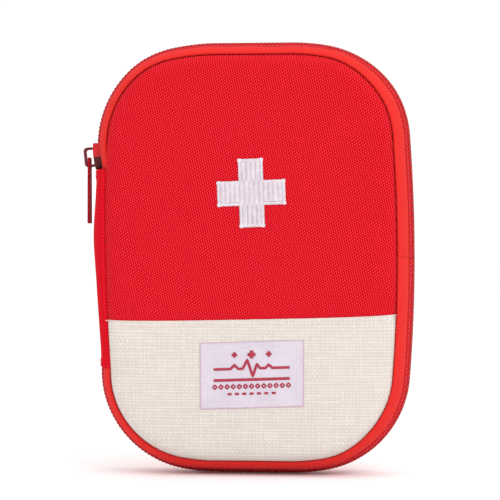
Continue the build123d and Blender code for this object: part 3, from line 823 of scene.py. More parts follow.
cream_stitches = cream_topstitch()

# ------------------------------------------------------------------ embroidered cross


def on_cross(x, z):
    """A point of the tilted cross as (x, z) on the panel."""
    c, s = math.cos(CROSS_TILT), math.sin(CROSS_TILT)
    return CROSS_AT[0] + x * c - z * s, CROSS_AT[1] + x * s + z * c


def cross_corners(grow=0.0):
    """The twelve corners of the cross, counter-clockwise."""
    far, near = CROSS_SIZE / 2 + grow, CROSS_ARM / 2 + grow
    quarter = [(near, near), (near, far), (-near, far), (-near, near)]
    corners = []
    for k in range(4):
        c, s = round(math.cos(k * math.pi / 2)), round(math.sin(k * math.pi / 2))
        corners += [(x * c - z * s, x * s + z * c) for x, z in quarter[:3]]
    return corners


def embroidery():
    """The cross: a padded ground with a fill of laid stitches, and a satin border round it."""
    fill, edging = Bundle(), Bundle()
    ground_lift, thread = 0.30 * MM, 0.21 * MM
    corners = cross_corners(-0.35 * MM)
    for lift in (0.0, ground_lift):
        for x, z in corners:
            spot = drop(front_tree, *on_cross(x, z))
            fill.points.append(spot + Vector((0, 0.05 * MM - lift, 0)))
            fill.uvs.append((x, z))
    fill.faces.append([12 + k for k in range(12)])
    fill.faces += [[k, (k + 1) % 12, 12 + (k + 1) % 12, 12 + k] for k in range(12)]

    def lay(bundle, x0, z0, x1, z1, radius, rise, lift):
        first = drop(front_tree, *on_cross(x0, z0)) + Vector((0, -lift, 0))
        last = drop(front_tree, *on_cross(x1, z1)) + Vector((0, -lift, 0))
        bundle.stitch(first, last, radius, rise, 5)

    pitch, reach = 0.40 * MM, 1.95 * MM
    border = 1.25 * MM
    rows = int((CROSS_SIZE - 2 * border) / pitch)
    for row in range(rows + 1):
        z = -CROSS_SIZE / 2 + border + row * pitch
        half = (CROSS_SIZE if abs(z) < CROSS_ARM / 2 - border else CROSS_ARM) / 2 - border
        if CROSS_ARM / 2 - border <= abs(z) < CROSS_ARM / 2:
            half = CROSS_ARM / 2
        count = max(1, round(2 * half / reach))
        jitter = 0.16 * MM * (row % 2)
        for k in range(count):
            x0 = -half + 2 * half * k / count + (jitter if k else 0)
            x1 = -half + 2 * half * (k + 1) / count + (jitter if k < count - 1 else 0)
            lay(fill, x0, z, x1, z, thread, 0.17 * MM, ground_lift)
    outer = cross_corners()
    for k in range(12):
        (x0, z0), (x1, z1) = outer[k], outer[(k + 1) % 12]
        reach_here = math.hypot(x1 - x0, z1 - z0)
        ux, uz = (x1 - x0) / reach_here, (z1 - z0) / reach_here
        threads = round(reach_here / (0.36 * MM))
        for i in range(threads + 1):
            t = i / threads * reach_here
            ragged = 0.14 * MM * noise.noise(Vector((k * 7.7, i * 0.9, 0.0)))
            px, pz = x0 + ux * t + uz * ragged, z0 + uz * t - ux * ragged
            qx, qz = px - uz * border, pz + ux * border
            lay(edging, px, pz, qx, qz, thread, 0.26 * MM, ground_lift * 0.8)
    return fill.piece("cross_fill", fill_thread), edging.piece("cross_border", white_thread)


cross, cross_border = embroidery()

# ------------------------------------------------------------------ woven label


def label_paint():
    """Pale satin with fine ribs, painted shade in their troughs, and a rosy selvedge."""
    paint = Paint("label_satin", 0.5, Sheen_Weight=0.3, Specular_IOR_Level=0.4)
    u, v = paint.uv()
    edge_u = paint.math("SUBTRACT", LABEL_SIZE[0] / 2, paint.math("ABSOLUTE", u))
    edge_v = paint.math("SUBTRACT", LABEL_SIZE[1] / 2, paint.math("ABSOLUTE", v))
    edge = paint.math("MINIMUM", edge_u, edge_v)
    rib = paint.wave(v, 0.32 * MM)
    # painted shade: darker in the ribs' troughs
    ground = paint.mix(paint.ramp(rib, 0, 1, 0.2, 1.0), rgb(192, 182, 196), rgb(214, 204, 216))
    mottle = paint.ramp(paint.noise(7 * MM, 2.0), 0.35, 0.65, 0.0, 0.35)
    cloud = paint.mix(mottle, ground, rgb(222, 214, 224))
    paint.colour(paint.mix(paint.ramp(edge, 0.0, 0.9 * MM, 0.75, 0.0), cloud, rgb(178, 132, 144)))
    paint.bump(rib, 0.03 * MM)
    return paint.material


def on_label(u, v):
    """A point of the label, sewn on a little askew, as (x, z) on the panel."""
    return LABEL_AT[0] + u, LABEL_AT[1] + v + u * math.tan(LABEL_SLOPE)


def label():
    """The sewn label: a thin satin patch with a soft wave, its edge turned down to the cloth."""
    columns, rows = 64, 44
    points, uvs = [], []
    for j in range(rows):
        for i in range(columns):
            u = (i / (columns - 1) - 0.5) * LABEL_SIZE[0]
            v = (j / (rows - 1) - 0.5) * LABEL_SIZE[1]
            edge = min(LABEL_SIZE[0] / 2 - abs(u), LABEL_SIZE[1] / 2 - abs(v))
            spot = drop(front_tree, *on_label(u, v))
            rise = 0.42 * MM * float(smoothstep(-0.1 * MM, 0.7 * MM, edge))
            sewn = 0.16 * MM * math.exp(-(((edge - 2.2 * MM) / (0.5 * MM)) ** 2))
            calm = float(smoothstep(0, 3 * MM, edge))
            wave = 0.09 * MM * noise.noise(Vector((u, v, 0)) / (6 * MM)) * calm
            points.append((spot.x, spot.y - rise + sewn - wave, spot.z))
            uvs.append((u, v))
    return mesh_piece("label_cloth", points, grid_faces(rows, columns), label_paint(), uvs)


label_cloth = label()
label_tree = surface_of(front_skin, cream_skin, label_cloth)


def label_line(bundle, points, radius, lift):
    """A woven line along points of the label, given in the label's own frame."""
    path = []
    for (x0, z0), (x1, z1) in zip(points[:-1], points[1:]):
        steps = max(2, int(math.hypot(x1 - x0, z1 - z0) / (0.5 * MM)))
        for k in range(steps):
            path.append((x0 + (x1 - x0) * k / steps, z0 + (z1 - z0) * k / steps))
    path.append(points[-1])
    spots = [drop(label_tree, *on_label(x, z)) + Vector((0, -lift, 0)) for x, z in path]
    bundle.tube(spots, [radius] * len(spots), 6, 0.35)


def label_motif():
    """A generic motif: three plus signs, a pulse line on a heavy rule, and rows of plain ornament."""
    bundle = Bundle()

    def draw(points, width, lift=0.06):
        label_line(bundle, [(x * MM, z * MM) for x, z in points], width * MM, lift * MM)

    for x, arm, width in ((-7.0, 1.1, 0.55), (0, 1.6, 0.75), (7.0, 1.1, 0.55)):
        draw([(x - arm, 8.3), (x + arm, 8.3)], width)
        draw([(x, 8.3 - arm), (x, 8.3 + arm)], width)
    pulse = [(-15.5, 2.6), (-8.6, 2.6), (-7.0, 4.2), (-5.4, 2.6), (-3.6, 2.6), (-1.8, 6.2)]
    pulse += [(0.5, -0.6), (2.2, 4.4)]
    pulse += [(3.4, 2.6), (5.6, 2.6), (7.0, 4.0), (8.4, 2.6), (15.5, 2.6)]
    draw(pulse, 0.55, 0.09)
    draw([(-15.5, -1.9), (15.5, -1.9)], 0.6)
    for k in range(-6, 7):
        reach = 0.85
        x, z = k * 2.5, -4.6
        diamond = [(x - reach, z), (x, z + reach), (x + reach, z), (x, z - reach)]
        draw([*diamond, diamond[0]], 0.36)
    for k in range(-3, 4):
        draw([(k * 3.0 - 0.8, -7.6), (k * 3.0 + 0.8, -7.6)], 0.5)
    return bundle.piece("label_motif", crimson_thread)


def label_stitches():
    """The white running stitch round the label."""
    bundle = Bundle()
    half_u, half_v = LABEL_SIZE[0] / 2 - 2.2 * MM, LABEL_SIZE[1] / 2 - 2.2 * MM
    corners = [(-half_u, -half_v), (half_u, -half_v), (half_u, half_v), (-half_u, half_v)]
    corners.append(corners[0])
    path = [on_label(*c) for c in corners]
    stitched_path(bundle, label_tree, path, 2.35 * MM, 0.5 * MM, 0.24 * MM, rise=0.1 * MM)
    return bundle.piece("label_stitches", white_thread)


motif = label_motif()
label_thread = label_stitches()

# ------------------------------------------------------------------ zip

TAPE_OUTER = [(0.12, 0.4), (1.6, 0.55), (2.9, 1.35), (3.4, 2.45), (3.85, 2.95), (4.25, 2.85), (4.7, 2.55)]
TAPE_OUTER += [(5.4, 2.36), (6.8, 2.3), (8.3, 2.5), (9.7, 3.1), (10.9, 3.9), (11.8, 4.6), (12.25, 5.05)]
TAPE_OUTER += [(12.3, 5.4), (11.8, 5.75), (11.2, 5.95)]


def tape_section():
    """The tape's closed profile as (depth, inset) in metres: outer face, then inner face back."""
    outer = np.array(TAPE_OUTER) * MM
    ahead = np.gradient(outer, axis=0)
    ahead /= np.linalg.norm(ahead, axis=1, keepdims=True)
    inner = outer[:-2] + np.column_stack([-ahead[:-2, 1], ahead[:-2, 0]]) * 0.6 * MM
    inner[:, 0] = np.clip(inner[:, 0], 0.3 * MM, 11.3 * MM)
    return np.concatenate([outer, inner[::-1]])


def swept(name, line, section, side, material, step, wave=0.0, seed=0.0):
    """A closed profile of (depth, inset) carried along a line, with closed ends."""
    count = int(line.length / step) + 1
    lengths = np.linspace(0, line.length, count)
    base, normals = line.at(lengths)
    wide = len(section)
    along = np.concatenate([[0], np.cumsum(np.linalg.norm(np.diff(section, axis=0), axis=1))])
    points, uvs = [], []
    flat_base = np.column_stack([base[:, 0], np.full(count, 0.01 * side), base[:, 1]])
    bulge = wobble(flat_base, 13 * MM, seed) * wave + wobble(flat_base, 5 * MM, seed + 5) * wave * 0.35
    shift, leans = seam_shift(normals), smoothstep(3.6 * MM, 10 * MM, section[:, 0])
    for i in range(count):
        for k, (depth, inset) in enumerate(section):
            puff = bulge[i] * math.sin(math.pi * min(max((depth - 3 * MM) / (9 * MM), 0), 1))
            inward = shift[i] * leans[k]
            x, z = base[i] - normals[i] * (inset + inward - puff)
            points.append((x, -side * depth, z))
            uvs.append((lengths[i], along[k]))
    faces = grid_faces(count, wide, wrap_columns=True, flip=side == BACK)
    first, last = list(range(wide)), [(count - 1) * wide + k for k in range(wide)]
    faces.append(first[::-1] if side == FRONT else first)
    faces.append(last if side == FRONT else last[::-1])
    return mesh_piece(name, points, faces, material, uvs)


def seam_allowance():
    """The tape's inner margin as (depth, inset): a thin strip under the lining, held by the binding."""
    outer = np.array([(11.05, 5.9), (11.45, 7.2), (11.6, 9.0)]) * MM
    return np.concatenate([outer, outer[::-1] - (0.3 * MM, 0)])


def tooth_row(name, line, side, phase):
    """One row of coil teeth: each is a rounded bar with a fat head that meets the other row's."""
    count = int(line.length / TOOTH_PITCH)
    pitch = line.length / count
    stations = [(-0.42, 0.62, 0.0), (-0.32, 0.62, 0.8), (0.05, 0.6, 1.45), (0.6, 0.58, 1.4)]
    stations.append((1.4, 0.66, 1.1))
    stations += [(2.2, 0.85, 1.05), (2.9, 1.15, 1.35), (3.35, 1.6, 1.2), (3.6, 2.0, 0.75), (3.7, 2.2, 0.0)]
    sides = 8
    points, faces, uvs = [], [], []
    base, normals = line.at((np.arange(count) + 0.25 + 0.5 * phase) * pitch)
    for (x, z), (nx, nz) in zip(base, normals):
        start = len(points)
        for depth, inset, fat in stations:
            for k in range(sides):
                angle = 2 * math.pi * k / sides
                along = 0.40 * MM * fat * math.cos(angle)
                out = -inset * MM + 0.5 * MM * min(fat, 1.0) * math.sin(angle)
                points.append((x - nz * along + nx * out, -side * depth * MM, z + nx * along + nz * out))
                uvs.append((out, depth * MM))
        faces += grid_faces(len(stations), sides, wrap_columns=True, flip=side == FRONT, start=start)
    return mesh_piece(name, points, faces, coil_plastic, uvs)


def tape_stitches(name, line, side):
    """The line of stitching along the tape beside its teeth."""
    spot = (-side * 4.0 * MM, 1.95 * MM)
    ends = (0.25 * MM, 2.0 * MM)
    return stitches_along(name, line, 2.4 * MM, ends, spot, 0.11 * MM, 0.09 * MM, 1, red_thread)


zip_parts = {}
for side, side_name in ((FRONT, "front"), (BACK, "back")):
    for part_name, line in (("upper", upper_line), ("lower", lower_line)):
        name = f"{side_name}_{part_name}"
        tape = swept(f"{name}_tape", line, tape_section(), side, tape_cloth, 1.2 * MM, 0.22 * MM, 3.0)
        teeth = tooth_row(f"{name}_teeth", line, side, 0 if side == FRONT else 1)
        sewing = tape_stitches(f"{name}_tape_stitches", line, side)
        margin = swept(f"{name}_margin", line, seam_allowance(), side, tape_cloth, 1.2 * MM)
        zip_parts[side_name, part_name] = (tape, teeth, sewing, margin)

# ------------------------------------------------------------------ spine


def spine_cloth_piece():
    """The spine gusset: arched between its seams, slightly slack, with both ends folded under."""
    rows, columns = 120, 41
    low, high = spine_low - 0.4 * MM, spine_high + 0.4 * MM
    chord = seam_depth - 0.25 * MM
    points, uvs = [], []
    for layer, inward in ((0, 0.0), (1, 1.0 * MM)):
        for j in range(rows):
            t = j / (rows - 1)
            z = low + (high - low) * t
            end = min(z - low, high - z)
            edge_x = left_side(z, SEAM_INSET - 0.4 * MM)
            slack = 1.2 * MM * math.exp(-(((z - 94 * MM) / (15 * MM)) ** 2))
            slack -= 0.2 * MM * hump(z, 66 * MM, 7 * MM) + 0.15 * MM * math.sin(15.0 * t)
            hem = 0.42 * MM * math.exp(-(((end - 1.0 * MM) / (0.55 * MM)) ** 2))
            hem += 0.30 * MM * math.exp(-(((end - 3.0 * MM) / (0.6 * MM)) ** 2))
            fold = hem + 0.2 * MM * float(smoothstep(4.6 * MM, 3.6 * MM, end))
            fold -= 0.6 * MM * float(smoothstep(0.5 * MM, 0.0, end))
            for i in range(columns):
                s = i / (columns - 1) * 2 - 1
                depth = chord * math.sin(s * math.pi / 2 * 0.98)
                arch = (1 - abs(s) ** 2.6) * (fold_x - spine_crown - 1.0 * MM)
                gather = 0.22 * MM * noise.noise(Vector((s * 0.8, z / (3.4 * MM), 4.0))) * abs(s) ** 3
                x = edge_x - arch - (slack + fold) * (1 - s * s) + gather + inward
                points.append((x, -depth * (1 if layer == 0 else 0.97), z))
                uvs.append((depth * 1.15, z))
    faces = grid_faces(rows, columns, flip=False)
    faces += grid_faces(rows, columns, flip=True, start=rows * columns)
    total = rows * columns
    rim = [i for i in range(columns)] + [j * columns + columns - 1 for j in range(1, rows)]
    rim += [(rows - 1) * columns + i for i in range(columns - 2, -1, -1)]
    rim += [j * columns for j in range(rows - 2, 0, -1)]
    for a, b in zip(rim, rim[1:] + rim[:1]):
        faces.append([b, a, a + total, b + total])
    return mesh_piece("spine_cloth", points, faces, spine_cloth, uvs)


def spine_stitches(tree):
    """The two stitch lines across each end of the spine."""
    bundle = Bundle()
    outward = Vector((-1, 0, 0))

    def spot(depth, z):
        hit = tree.ray_cast(Vector((-0.1, -depth, z)), Vector((1, 0, 0)))
        return hit[0] if hit[0] else Vector((spine_crown, -depth, z))

    for z in (spine_high - 1.9 * MM, spine_high - 4.2 * MM, spine_low + 1.9 * MM, spine_low + 4.2 * MM):
        for k in range(9):
            a, b = (-11 + 2.45 * k) * MM, (-11 + 2.45 * k + 1.95) * MM
            bundle.stitch(spot(a, z), spot(b, z), 0.15 * MM, 0.1 * MM, 5, outward)
    return bundle.piece("spine_stitches", red_thread)


spine_piece = spine_cloth_piece()
spine_sewing = spine_stitches(surface_of(spine_piece))

# ------------------------------------------------------------------ slider and pull


def softened(name, node, voxel, material):
    """A CAD node's shape with its corners worn soft."""
    piece = copied(name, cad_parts[node].data, material)
    remesh = piece.modifiers.new("remesh", "REMESH")
    remesh.mode, remesh.voxel_size, remesh.use_smooth_shade = "VOXEL", voxel, True
    smooth = piece.modifiers.new("smooth", "SMOOTH")
    smooth.factor, smooth.iterations = 0.5, 3
    return apply_modifiers(piece)


def stand_off(piece, low, high, reach):
    """Draws a piece's outer parts away from the zip, fully from high beyond the zip's line."""
    centre = Vector((-corner_x, 0, height - corner_z))
    for vertex in piece.data.vertices:
        away = Vector((vertex.co.x - centre.x, 0, vertex.co.z - centre.z))
        out = away.length - CORNER_R
        vertex.co += away.normalized() * reach * float(smoothstep(low, high, out))


slider_piece = softened("slider_body", "zip_slider", 0.16 * MM, slider_metal)
stand_off(slider_piece, -1.5 * MM, 0.6 * MM, 0.7 * MM)
pull_piece = softened("pull_plate", "zip_pull", 0.13 * MM, pull_metal)
for vertex in pull_piece.data.vertices:
    vertex.co.x -= 0.7 * MM


def dress_slider(piece):
    """Burgundy wire on the slider's bridge, and painted shade on its sides along the open tail, where the
    hollow inside would lie in shadow.
    """
    piece.data.materials.append(bridge_metal)
    piece.data.materials.append(tail_shade_metal)
    centre = Vector((-corner_x, 0, height - corner_z))
    low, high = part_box("zip_slider")
    middle = Vector((low.x + 4.5 * MM, 0, (low.z + high.z) / 2)) - centre
    outward = Vector((middle.x, 0, middle.z)).normalized()
    forward = Vector((-outward.z, 0, outward.x))
    for face in piece.data.polygons:
        spot = face.center - centre
        reach, run = spot.dot(outward), (spot - middle).dot(forward)
        if math.hypot(spot.x, spot.z) > CORNER_R + 3.05 * MM:
            face.material_index = 1
        # painted shade: the side faces along the open tail get the dark enamel
        elif abs(face.normal.y) > 0.5 and run > 0.4 * MM and reach > 0:
            face.material_index = 2


dress_slider(slider_piece)

# ------------------------------------------------------------------ inside: linings, bindings, pockets


def lining(side, name):
    """A lining sheet with slack ripples and its raw edge under the binding."""
    seed = 11.0 if side == FRONT else 17.0

    def depth_at(inset, base, ring):
        calm = float(smoothstep(7 * MM, 16 * MM, inset))
        ripple = wobble(flat_points(ring), 14 * MM, seed) * 0.2 * MM * calm
        return lining_depth + 0.2 * MM + ripple

    insets = [6.6 * MM + k * 2.4 * MM for k in range(9)]
    sheet = disc(name, insets, depth_at, side, lining_cloth, 240)
    return thickened(sheet, 0.3 * MM)


def spine_lining_piece():
    """The spine's lining, inside its arch."""
    rows, columns = 60, 21
    low, high = spine_low + 0.5 * MM, spine_high - 0.5 * MM
    points, uvs = [], []
    for j in range(rows):
        z = low + (high - low) * j / (rows - 1)
        edge_x = left_side(z, SEAM_INSET + 0.9 * MM)
        for i in range(columns):
            s = i / (columns - 1) * 2 - 1
            depth = (seam_depth - 1.6 * MM) * math.sin(s * math.pi / 2 * 0.98)
            ripple = 0.2 * MM * noise.noise(Vector((s * 2, z / (8 * MM), 9.0)))
            points.append((edge_x - (1 - abs(s) ** 2.6) * 3.2 * MM + ripple * (1 - s * s), -depth, z))
            uvs.append((depth, z))
    faces = grid_faces(rows, columns, flip=True)
    sheet = mesh_piece("spine_lining_cloth", points, faces, lining_cloth, uvs)
    return thickened(sheet, 0.3 * MM)


def fold_strip(side, name):
    """The soft strip inside the case that joins the spine's lining to a panel's, along the fold."""
    rows = 64
    low, high = spine_low - 10 * MM, spine_high + 0.2 * MM
    section = [(-1.6, 9.6), (-0.9, 10.6), (0.2, 11.3), (1.4, 11.6), (3.2, 11.65)]
    points, uvs = [], []
    for j in range(rows):
        z = low + (high - low) * j / (rows - 1)
        edge_x = left_side(z, SEAM_INSET)
        for k, (inward, depth) in enumerate(section):
            points.append((edge_x + inward * MM, -side * depth * MM, z))
            uvs.append((k * 1.2 * MM, z))
    faces = grid_faces(rows, len(section), flip=side == FRONT)
    sheet = mesh_piece(name, points, faces, binding_cloth, uvs)
    return thickened(sheet, 0.3 * MM, smooth=True)


def ring_sweep(name, section, side, material, wave, seed):
    """A closed profile of (depth, inset) carried all round the outline."""
    count = int(outline.length / (1.5 * MM))
    lengths = np.linspace(0, outline.length, count, endpoint=False)
    base, normals = outline.at(lengths)
    flat_base = np.column_stack([base[:, 0], np.zeros(count), base[:, 1]])
    bulge = wobble(flat_base, 6 * MM, seed) * wave
    wide = len(section)
    points, uvs = [], []
    for i in range(count):
        for k, (depth, inset) in enumerate(section):
            x, z = base[i] - normals[i] * (inset + bulge[i])
            points.append((x, -side * (depth - 0.5 * bulge[i]), z))
            uvs.append((lengths[i], 0.8 * MM * k))
    faces = grid_faces(count, wide, wrap_rows=True, wrap_columns=True, flip=side == BACK)
    return mesh_piece(name, points, faces, material, uvs)


def rounded_section(low_depth, high_depth, low_inset, high_inset, count=16):
    """A soft oval profile that fills a rectangle of depths and insets."""
    mid_d, mid_i = (low_depth + high_depth) / 2, (low_inset + high_inset) / 2
    half_d, half_i = (high_depth - low_depth) / 2, (high_inset - low_inset) / 2
    section = []
    for k in range(count):
        angle = 2 * math.pi * k / count
        c, s = math.cos(angle), math.sin(angle)
        grow = (abs(c) ** 4 + abs(s) ** 4) ** -0.25
        section.append((mid_d + half_d * c * grow, mid_i - half_i * s * grow))
    return section


def binding(side, name):
    """The tape folded over a panel's raw seam inside the case."""
    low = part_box("back_seam_binding")[0].y
    section = rounded_section(low, lining_depth, 9.4 * MM, 10.6 * MM)
    return ring_sweep(name, section, side, binding_cloth, wave=0.12 * MM, seed=5.0 + side)


def binding_stitches(side, name):
    """The stitches along the binding's inner face."""
    spot = (-side * (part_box("back_seam_binding")[0].y + 1.5 * MM), 10.6 * MM)
    return stitches_along(
        name, outline, 3.2 * MM, (0, 2.5 * MM), spot, 0.16 * MM, 0.14 * MM, -1, dark_thread
    )


POCKET_INSET = 10.8 * MM


def pocket_shell(name, node, side, material, roll, solid_thickness):
    """A pocket's cloth: out from the lining round its edge and flat across, open at the top."""
    low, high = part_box(node)
    near = low.y if side == BACK else -high.y
    seed = 23.0 + side

    def depth_at(inset, base, ring):
        run = inset - POCKET_INSET
        share = 1 - (1 - np.clip(run / roll, 0, 1)) ** 2
        calm = float(smoothstep(0, 5 * MM, run))
        ripple = wobble(flat_points(ring), 12 * MM, seed) * 0.25 * MM * calm
        out = lining_depth - 0.3 * MM
        return out + (near + 0.5 * MM - out) * math.sqrt(float(share)) + ripple

    runs = [0, 0.3, 0.8, 1.5, 2.4, 3.5, 5, 7, 9, 12, 15, 18]
    sheet = disc(name, [POCKET_INSET + r * MM for r in runs], depth_at, side, material, 260)
    cut_above(sheet.data, high.z)
    return thickened(sheet, solid_thickness)


def net(name, tree, side, cell, radius):
    """A knotted net over a pocket's front: hexagon cells of thread, laid on the pocket's surface."""
    bundle = Bundle()
    low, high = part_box("net_pocket")
    outward = Vector((0, side, 0))
    start = Vector((0, side * 0.02, 0))

    def spot(x, z):
        hit = tree.ray_cast(Vector((x, start.y, z)), Vector((0, -side, 0)))
        return hit[0]

    step_x, step_z = cell * math.sqrt(3), cell * 1.5
    columns = int((high.x - low.x) / step_x) + 2
    rows = int((high.z - low.z) / step_z) + 2
    for j in range(rows):
        for i in range(columns):
            x = low.x + (i + 0.5 * (j % 2)) * step_x
            z = low.z + j * step_z
            half, half_x = cell / 2, step_x / 2
            knots = [(x, z + half), (x + half_x, z + cell), (x, z - half), (x - half_x, z + cell)]
            for first, last in ((knots[0], knots[1]), (knots[0], knots[3]), (knots[0], knots[2])):
                a, b = spot(*first), spot(*last)
                if a is None or b is None or (a - b).length > 2.5 * cell:
                    continue
                bundle.tube([a, (a + b) / 2, b], [radius * 1.35, radius, radius * 1.35], 4, up=outward)
    return bundle.piece(name, dark_thread)


def hem(node, side, name, material):
    """A pocket's elastic hem: a soft flat tape with gathers along its lower edge."""
    low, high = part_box(node)
    near = low.y if side == BACK else -high.y
    columns, count = 90, 14
    section = rounded_section(near - 0.1 * MM, near + 0.9 * MM, low.z, high.z + 0.3 * MM, count)
    points, uvs = [], []
    for i in range(columns):
        x = low.x + (high.x - low.x) * i / (columns - 1)
        for k, (depth, z) in enumerate(section):
            pinch = 0.25 * MM * noise.noise(Vector((x / (3 * MM), k * 0.3, 2.0)))
            points.append((x, -side * (depth + pinch * 0.3), z + pinch))
            uvs.append((x, z))
    faces = grid_faces(columns, count, wrap_columns=True, flip=side == FRONT)
    faces += [list(range(count)), [(columns - 1) * count + k for k in range(count)][::-1]]
    return mesh_piece(name, points, faces, material, uvs)


front_lining = lining(FRONT, "front_lining_cloth")
back_lining = lining(BACK, "back_lining_cloth")
spine_inner = spine_lining_piece()
fold_strips = {
    side: fold_strip(side, f"{name}_fold_strip") for side, name in ((FRONT, "front"), (BACK, "back"))
}
front_binding = binding(FRONT, "front_binding_tape")
back_binding = binding(BACK, "back_binding_tape")
front_binding_sewing = binding_stitches(FRONT, "front_binding_stitches")
back_binding_sewing = binding_stitches(BACK, "back_binding_stitches")
slip_cloth = pocket_shell("slip_pocket_cloth", "slip_pocket", BACK, lining_cloth, 4 * MM, 0.5 * MM)
net_form = pocket_shell("net_form", "net_pocket", FRONT, lining_cloth, 7 * MM, 0.1 * MM)
net_cloth = net("net_pocket_threads", surface_of(net_form), FRONT, 1.6 * MM, 0.17 * MM)
bpy.data.objects.remove(net_form)
slip_hem = hem("slip_pocket_hem", BACK, "slip_pocket_elastic", binding_cloth)
net_hem = hem("net_pocket_hem", FRONT, "net_pocket_elastic", binding_cloth)

# ------------------------------------------------------------------ inside: loops and contents


def loop_band():
    """One elastic band over the rolls and the tweezers, sewn down between them."""
    low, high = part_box("elastic_loops")
    base = lining_depth - 0.5 * MM
    tweezers_low, tweezers_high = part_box("tweezers")
    loops = []
    for node in ("gauze_bandage_roll", "crepe_bandage_roll"):
        roll_low, roll_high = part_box(node)
        radius = (roll_high.x - roll_low.x) / 2
        middle_x = (roll_low.x + roll_high.x) / 2
        loops.append((middle_x, radius + 0.6 * MM, base - roll_low.y + 0.6 * MM, radius))
    small = ((tweezers_low.x + tweezers_high.x) / 2, 5.1 * MM, 6.1 * MM, 2 * MM)
    path = [(low.x, base)]
    for x, half, tall, radius in (small, loops[0], loops[1]):
        path.append((x - half - 1.2 * MM, base))
        path.append((x - half - 0.2 * MM, base - 0.8 * MM))
        for k in range(25):
            angle = math.pi * k / 24
            squared = radius if radius < half else half
            px = x - math.copysign(half - squared, math.cos(angle)) - squared * math.cos(angle)
            py = base - (tall - squared) - squared * math.sin(angle)
            path.append((px, py))
        path.append((x + half + 0.2 * MM, base - 0.8 * MM))
        path.append((x + half + 1.2 * MM, base))
    path.append((high.x, base))
    fine = []
    for (x0, y0), (x1, y1) in zip(path[:-1], path[1:]):
        steps = max(1, int(math.hypot(x1 - x0, y1 - y0) / (1.2 * MM)))
        fine += [(x0 + (x1 - x0) * k / steps, y0 + (y1 - y0) * k / steps) for k in range(steps)]
    fine.append(path[-1])
    rows = 12
    points, uvs, run = [], [], 0.0
    for i, (x, y) in enumerate(fine):
        run += math.hypot(x - fine[i - 1][0], y - fine[i - 1][1]) if i else 0.0
        for j in range(rows):
            t = j / (rows - 1)
            curl = 0.25 * MM * math.cos(2 * math.pi * t) * noise.noise(Vector((run / (6 * MM), t, 0)))
            points.append((x, y + curl, low.z + (high.z - low.z) * t))
            uvs.append((run, (high.z - low.z) * t))
    band = mesh_piece("elastic_band", points, grid_faces(len(fine), rows), elastic_cloth, uvs)
    return thickened(band, 0.8 * MM)


def rolled(name, node, material, inner, turns, axis, thickness):
    """A rolled strip, wound in a true spiral about its axis, which is Z or Y."""
    low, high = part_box(node)
    middle = (low + high) / 2
    outer = (high.x - low.x) / 2
    half = ((high.z - low.z) if axis == "Z" else (high.y - low.y)) / 2
    samples = int(turns * 56)
    points, uvs = [], []
    rings = [-1.0, -0.97, -0.6, 0.0, 0.6, 0.97, 1.0]
    for i in range(samples):
        t = i / (samples - 1)
        angle = 2 * math.pi * turns * t
        radius = inner + (outer - thickness / 2 - inner) * t
        uneven = 0.25 * MM * noise.noise(Vector((t * turns * 0.7, 1.3, inner * 1000)))
        for skin in (thickness / 2, -thickness / 2):
            order = rings if skin > 0 else rings[::-1]
            for ring in order:
                here = radius + skin * (0.86 if abs(ring) == 1.0 else 1.0)
                ripple = 0.10 * MM * noise.noise(Vector((angle * 2.2, ring * 3, 5.0))) * (1 - t * 0.3)
                a, b = (here + ripple) * math.cos(angle), (here + ripple) * math.sin(angle)
                c = ring * half + uneven * ring
                across, along = (b, c) if axis == "Z" else (c, b)
                spot = (middle.x + a, middle.y + across, middle.z + along)
                points.append(spot)
                uvs.append((radius * angle, ring * half))
    wide = 2 * len(rings)
    faces = grid_faces(samples, wide, wrap_columns=True, flip=axis == "Z")
    faces += [list(range(wide)), [(samples - 1) * wide + k for k in range(wide)][::-1]]
    return mesh_piece(name, points, faces, material, uvs)


def sachets(name, side, size, thickness, places, material):
    """A stack of flat sealed sachets: soft in the middle, with crimped ends."""
    columns, rows = 26, 34
    points, faces, uvs = [], [], []
    reach = lining_depth - 0.35 * MM
    for x, z, layer in places:
        for skin in (1, -1):
            start = len(points)
            for j in range(rows):
                for i in range(columns):
                    u, v = (i / (columns - 1) - 0.5) * size[0], (j / (rows - 1) - 0.5) * size[1]
                    edge_u, edge_v = size[0] / 2 - abs(u), size[1] / 2 - abs(v)
                    fill = smoothstep(1.5 * MM, 7 * MM, edge_u) * smoothstep(4.5 * MM, 11 * MM, edge_v)
                    puff = (0.12 + 0.88 * float(fill)) * thickness / 2
                    sealed = float(smoothstep(4.5 * MM, 3.5 * MM, edge_v))
                    crimp = 0.12 * MM * math.sin(v / (0.35 * MM)) * sealed
                    limp = 0.1 * MM * noise.noise(Vector((u, v, layer * 0.02)) / (14 * MM))
                    middle = reach - thickness / 2 - layer * (thickness + 0.1 * MM)
                    depth = middle + skin * puff + crimp + limp
                    points.append((x + u, -side * depth, z + v))
                    uvs.append((u, v))
            faces += grid_faces(rows, columns, flip=(skin == -1) == (side == FRONT), start=start)
    return mesh_piece(name, points, faces, material, uvs)


band = loop_band()
gauze_roll = rolled("gauze_roll", "gauze_bandage_roll", gauze_cloth, 1.6 * MM, 9, "Z", 0.7 * MM)
crepe_roll = rolled("crepe_roll", "crepe_bandage_roll", crepe_cloth, 1.8 * MM, 6, "Z", 1.05 * MM)
tape_winding = rolled("surgical_tape", "tape_roll_winding", surgical_cloth, 12.7 * MM, 14, "Y", 0.36 * MM)


